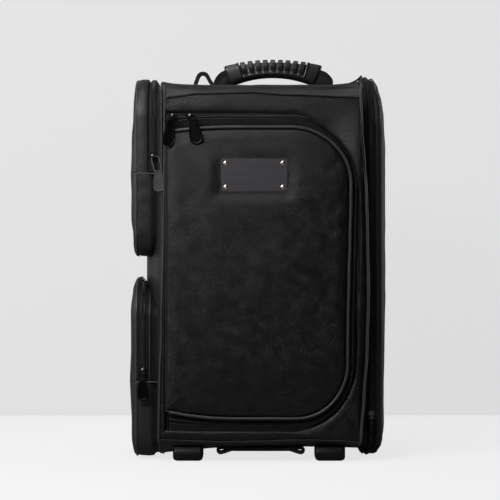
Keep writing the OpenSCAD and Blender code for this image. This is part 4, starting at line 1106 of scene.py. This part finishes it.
def build_handle():
    build_grip()
    # Webbing from the grip's ends down to the pivots, three layers thick
    parts = []
    for side, edge in (
        (-1, [(-46, 583.6), (-55.9, 579.1), (-61.2, 576.6), (-65, 573.8), (-69.5, 568.5), (-72.5, 562.4),
              (-73.6, 557.4), (-73, 554.8)]),
        (1, [(79, 583.6), (88.5, 579.6), (96.8, 576), (101.3, 572.3), (105.8, 567), (107.6, 562.4),
             (107.4, 558), (106, 554.8)]),
    ):
        line = curve_through(laid(edge, 0), 1.5)
        for k in range(3):
            layer = []
            for i, q in enumerate(line):
                t = (line[min(len(line) - 1, i + 1)] - line[max(0, i - 1)]).normalized()
                inward = Vector((t.z * side, 0, -t.x * side))
                if inward.z > 0 and abs(inward.x) < abs(inward.z):
                    inward = -inward
                layer.append(q + inward * (1.3 + 2.7 * k))
            parts.append(strap(layer, 20 - 0.8 * k, 2.6))
        # The folds between the layers and the grip's end
        low = [(x - side * 1.5, z - 3.0) for x, z in edge[1:]]
        low += [(HANDLE_X + side * 62, 555.5), (HANDLE_X + side * 60, 572)]
        parts.append(loft([laid(low, y) for y in (-8.6, 8.6)], True, (True, True)))
    piece("handle_webbing", merge(parts), WEBBING, "carry_handle", ("handle_straps",))
    for side, word, stands in ((-1, "left", ("handle_anchors",)), (1, "right", ())):
        x = HANDLE_X + side * 91
        rings = [[(*p, z) for p in rounded(x, 0, 7 + grow, 13 + grow, 3.0, 5)]
                 for grow, z in ((0, 550.6), (0, 553.6), (-0.8, 554.5), (-2.5, 554.7))]
        piece("handle_patch_" + word, loft(rings, True, (False, True)), LEATHER, "case", stands)
        path = [(p[0] + (x - p[0]) * 0.17, p[1] * 0.9, 554.8) for p in rings[1]]
        stitches = rows(path, (0, 0, 1), 3.6, (2.6, 0.6, 0.5), closed=True)
        piece("handle_patch_stitches_" + word, stitches, THREAD, "case")


def build_loops():
    """The two shoulder loops and the grab strap under the body."""
    left = [(-105, 551.0), (-104.5, 563), (-102.2, 568.6), (-99.1, 574.8), (-95.3, 578.2), (-90.6, 579.1), (-86, 577.9),
            (-82.2, 574), (-78.3, 567.8), (-75, 563), (-74.5, 551.0)]
    loop_y = 52
    centre = Vector((-90, 0, 562))
    line = []
    for x, z in left:
        d = Vector((x, 0, 551 + (z - 551) * 1.11)) - centre
        line.append(centre + Vector((0, loop_y, 0)) + d * ((d.length - 2.3) / d.length))
    right = [(108, 551.6), (125, 560), (143.5, 567.5), (151, 573), (154, 576), (153.4, 573.5), (149.5, 567),
             (144, 558.5), (139.5, 551)]
    loops = [strap(curve_through(line, 1.5), 12, 5.8), strap(curve_through(laid(right, loop_y), 1.5), 12, 2.6)]
    piece("webbing_loops", merge(loops), WEBBING, "case", ("shoulder_loops",))

    left, right, y = -65.0, 60.0, -92.5
    ends = [(3.4, 18.2), (-0.4, 15.2), (1.6, 11.4), (5.5, 11.0), (13, 13.2)]
    low = [(left + x, z) for x, z in ends] + [(left + 20 + (right - left - 40) * i / 12, 15.6) for i in range(13)]
    low += [(right - x, z) for x, z in reversed(ends)]
    high = [(left + 2 + (right - left - 4) * i / 24, 18.0 + 0.3 * math.sin(i * 1.1)) for i in range(25)]
    straps = [strap(curve_through(laid(low, y), 2.0), 25, 3.6), strap(laid(high, y), 24, 3.8)]
    piece("grab_strap", merge(straps), WEBBING, "case", ("bottom_strap",))


# ---------------------------------------------------------------- pulls and hardware


def build_pull(node, x, y, z, link, tab_w, tab_l, swing, lean, twist=0.0, loop_w=8.0, mat=PULL_BLACK, out=0.0):
    """A wire link leaning by swing, and below it a tab with a raised rim leaning by lean."""
    half_loop = loop_w / 2
    low = -link - 1.2
    side = [(half_loop * 0.6, -0.4), (half_loop, -3.0), (half_loop, low + 2.5), (half_loop * 0.55, low)]
    loop = [(-u, v) for u, v in reversed(side)] + [(0, 0.3)] + side
    verts, faces = sweep(curve_through(laid(loop, 0), 1.0), circle(1.0), FORWARD)
    eye = Vector((x, y, z))
    turn = Matrix.Rotation(math.radians(-out), 3, "X") @ Matrix.Rotation(math.radians(swing), 3, "Y")
    wire = ([eye + turn @ Vector(v) for v in verts], faces)
    top = eye + turn @ Vector((0, 0, -link))

    half = tab_w / 2
    outline = [(half * math.cos(-math.pi * i / 18), -tab_l + half * 0.8 - half * 0.8 * math.sin(math.pi * i / 18))
               for i in range(19)]
    neck = min(half * 0.72, half_loop + 0.8)
    side = [(neck * 0.8, 0.4), (neck * 1.1, -3.5), (half * 0.97, -tab_l * 0.5)]
    outline += [(-u, v) for u, v in reversed(side)] + [(0, 1.2)] + side
    middle = Vector((0, -tab_l * 0.52))
    hang = Matrix.Rotation(math.radians(lean), 3, "Y") @ Matrix.Rotation(math.radians(twist), 3, "Z")
    rings = []
    for inset, depth in ((1.8, 1.3), (0.4, 1.1), (0, 0.5), (0, -0.5), (0.4, -1.1), (1.2, -1.4), (1.9, -1.2),
                         (2.4, -0.8), (3.6, -0.8)):
        ring = []
        for p in outline:
            d = Vector(p) - middle
            d = middle + d * ((d.length - inset) / d.length)
            ring.append(top + hang @ Vector((d[0], depth, d[1])))
        rings.append(ring)
    shape = merge([wire, loft(rings, True, (True, True))])
    fix_normals(piece(node + "_detail", shape, mat, node + "_body", (node,)))


def dress(names, mat, bevel=0.0, segments=3):
    """CAD nodes that stay: their material, and softly broken edges."""
    for name in names.split():
        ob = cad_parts[name]
        ob.data.materials.clear()
        ob.data.materials.append(mat)
        if bevel:
            ob.modifiers.new("join", "WELD").merge_threshold = 0.00001
            edge = ob.modifiers.new("edge", "BEVEL")
            edge.width, edge.segments, edge.limit_method = bevel * 0.001, segments, "ANGLE"
            edge.angle_limit = math.radians(35)
            edge.use_clamp_overlap = True


def build_hardware():
    z = 501.5
    build_pull("front_pull_left", -130.5, -125.1, z, 6.5, 16.5, 39, 20, 7, twist=12)
    build_pull("front_pull_right", -105.0, -125.1, z, 6.5, 19, 37, -35, -12, twist=-6)
    build_pull("upper_pull", -157.0, -104.0, 443, 24, 15.2, 30.5, -14, -1, loop_w=10.5, mat=PULL_GREY, out=24)
    build_pull("lower_pull", -175.0, -104.5, 132, 15, 15.5, 30, 0, -2, loop_w=9.5)
    build_pull("side_pull", 159.5, -103.5, 66, 8, 15, 30, 0, 0, twist=80)
    dress("front_slider_left front_slider_right upper_slider lower_slider side_slider", ZIP_METAL, 0.7)
    dress("trolley_button", ZIP_METAL, 0.6)
    dress("name_plate", PLATE_METAL, 0.45)
    dress("plate_rivets", RIVET_METAL)
    dress("wheel_housing_left wheel_housing_right trolley_bezel trolley_grip trolley_foot_bracket", PLASTIC, 1.0)
    feet = []
    for x in (-108.5, 98.5):
        rings = [[(*p, z) for p in rounded(x, -93, 22 - inset, 19 - inset, 5.0 - 0.4 * inset, 6)]
                 for z, inset in ((20.5, 0), (7, 0), (4.2, 0.3), (2.2, 1.2), (0.8, 2.8), (0, 5.0))]
        feet.append(loft(rings, True, (True, True)))
    fix_normals(piece("moulded_feet", merge(feet), PLASTIC, "case", ("front_feet",)))
    dress("wheel_hub_left wheel_hub_right", HUB, 0.8)
    dress("wheel_tyre_left wheel_tyre_right", RUBBER, 1.6, 4)
    dress("trolley_outer_tubes trolley_middle_tubes trolley_inner_tubes", ALLOY)
    dress("wheel_axles", STEEL)
    dress("trolley_cover", LINING)


def upper_crown(y, z):
    return table(z, [(299, -3.4), (322, -2.8), (350, 0.6), (470, 0.4), (506, -2.2), (529, -4.8), (547, -8.6),
                     (561, -11.0)])


def lower_crown(y, z):
    return table(z, [(4, -2.0), (30, 0.2), (120, 1.6), (214, 1.6), (248, 0.0), (266, -2.0)])


def upper_drop(x):
    return table(x, [(150, 7.5), (153, 6.5), (156.5, 4.0), (159, 2.4), (164, 2.4), (167, 5.0), (169.5, 0.5), (173, 0.0),
                     (179, 0.2), (184.5, 1.4)])


def lower_drop(x):
    return table(x, [(146, 42), (150, 40)]) if x < 150 else 40 - 40 * clamp((x - 150) / 33)


build_body()
build_interior()
build_door()
build_front_zip()
build_flank_pad()
build_pocket("upper", Form(190, 299, 561, 34, 60), 160.5, 5.8, 420.0, upper_crown, upper_drop, 1.5)
build_pocket("lower", Form(190, 4, 265.5, 30, 60), 175.0, 9.2, 115.0, lower_crown, lower_drop, 6.5)
build_side()
build_handle()
build_loops()
build_hardware()

# ---------------------------------------------------------------- stage, camera and lights

# The level of the floor and the backdrop for light that falls on the case, and their levels for the camera
BOUNCE, FLOOR, BACKDROP = 0.25, 0.831, 0.745


def stage_look(name, level, share):
    """A pale surface that shows its own colour to the camera, throws back less, and still takes some shadow."""
    look = Look(name, 0.9, Specular_IOR_Level=0.1)
    seen = look.seen()
    look.fill(look.shader, Base_Color=look.math("MULTIPLY_ADD", seen, level - BOUNCE, BOUNCE))
    glow = look.add("ShaderNodeEmission", Color=(level, level, level, 1))
    surface = look.mix(look.times(seen, share), look.shader, glow)
    # Seen from behind, the surface lets everything through
    behind = look.add("ShaderNodeNewGeometry").outputs["Backfacing"]
    surface = look.mix(behind, surface, look.add("ShaderNodeBsdfTransparent"))
    look.fill(look.tree.nodes["Material Output"], Surface=surface.outputs[0])
    return look.mat


def stage_plane(name, corners, mat):
    mesh = bpy.data.meshes.new(name)
    mesh.from_pydata(corners, [], [(0, 1, 2, 3)])
    mesh.materials.append(mat)
    placed(name, mesh)


WALL_Y, FLOOR_Z = 0.587, -0.0006
stage_plane("floor", [(-9, -9, FLOOR_Z), (9, -9, FLOOR_Z), (9, 9, FLOOR_Z), (-9, 9, FLOOR_Z)],
            stage_look("floor_look", FLOOR, 0.9))
stage_plane("backdrop", [(-7, WALL_Y, -0.01), (7, WALL_Y, -0.01), (7, WALL_Y, 6), (-7, WALL_Y, 6)],
            stage_look("backdrop_look", BACKDROP, 0.92))

scene.world = bpy.data.worlds.new("studio")
sky = Tree(scene.world)
dim = sky.fill(sky.tree.nodes["Background"], Color=(0.05, 0.05, 0.0512, 1))
bright = sky.add("ShaderNodeBackground", Color=(BACKDROP, BACKDROP, BACKDROP, 1))
sky.fill(sky.tree.nodes["World Output"], Surface=sky.mix(sky.seen(), dim, bright).outputs[0])

for name, place, aim, size, power in (
    ("key", (-0.85, -1.0, 1.05), (-0.06, -0.1, 0.42), (0.4, 0.4), 18),
    ("soft_front", (-0.3, -1.0, 0.98), (-0.07, -0.1, 0.5), (0.2, 0.2), 7),
    ("top_box", (-0.3, -0.7, 2.2), (0, 0, 0.4), (1.2, 0.7), 25),
    ("front_left", (-2.1, -1.6, 2.0), (0, 0, 0.4), (0.8, 1.0), 10),
    ("left_side", (-2.0, -0.2, 0.9), (0, 0, 0.3), (0.5, 1.2), 19),
    ("right_side", (1.7, 0.35, 0.7), (0, 0, 0.3), (0.6, 1.4), 18),
    ("rear", (-0.012, 0.56, 0.32), (-0.012, 0.1, 0.32), (0.22, 0.34), 1.5),
):
    data = bpy.data.lights.new(name, "AREA")
    data.shape = "RECTANGLE"
    data.size, data.size_y = size
    data.energy = power
    lamp = placed(name, data)
    lamp.location = place
    lamp.rotation_euler = (Vector(aim) - Vector(place)).to_track_quat("-Z", "Y").to_euler()
    lamp.visible_camera = False

camera_data = bpy.data.cameras.new("camera")
camera_data.lens, camera_data.sensor_width, camera_data.clip_end = 124.0, 36.0, 40
camera = placed("camera", camera_data)
camera.location = (-0.0121, -2.6167, 0.307)
camera.rotation_euler = (math.pi / 2, 0, 0)
scene.camera = camera
scene.view_settings.view_transform = "Standard"
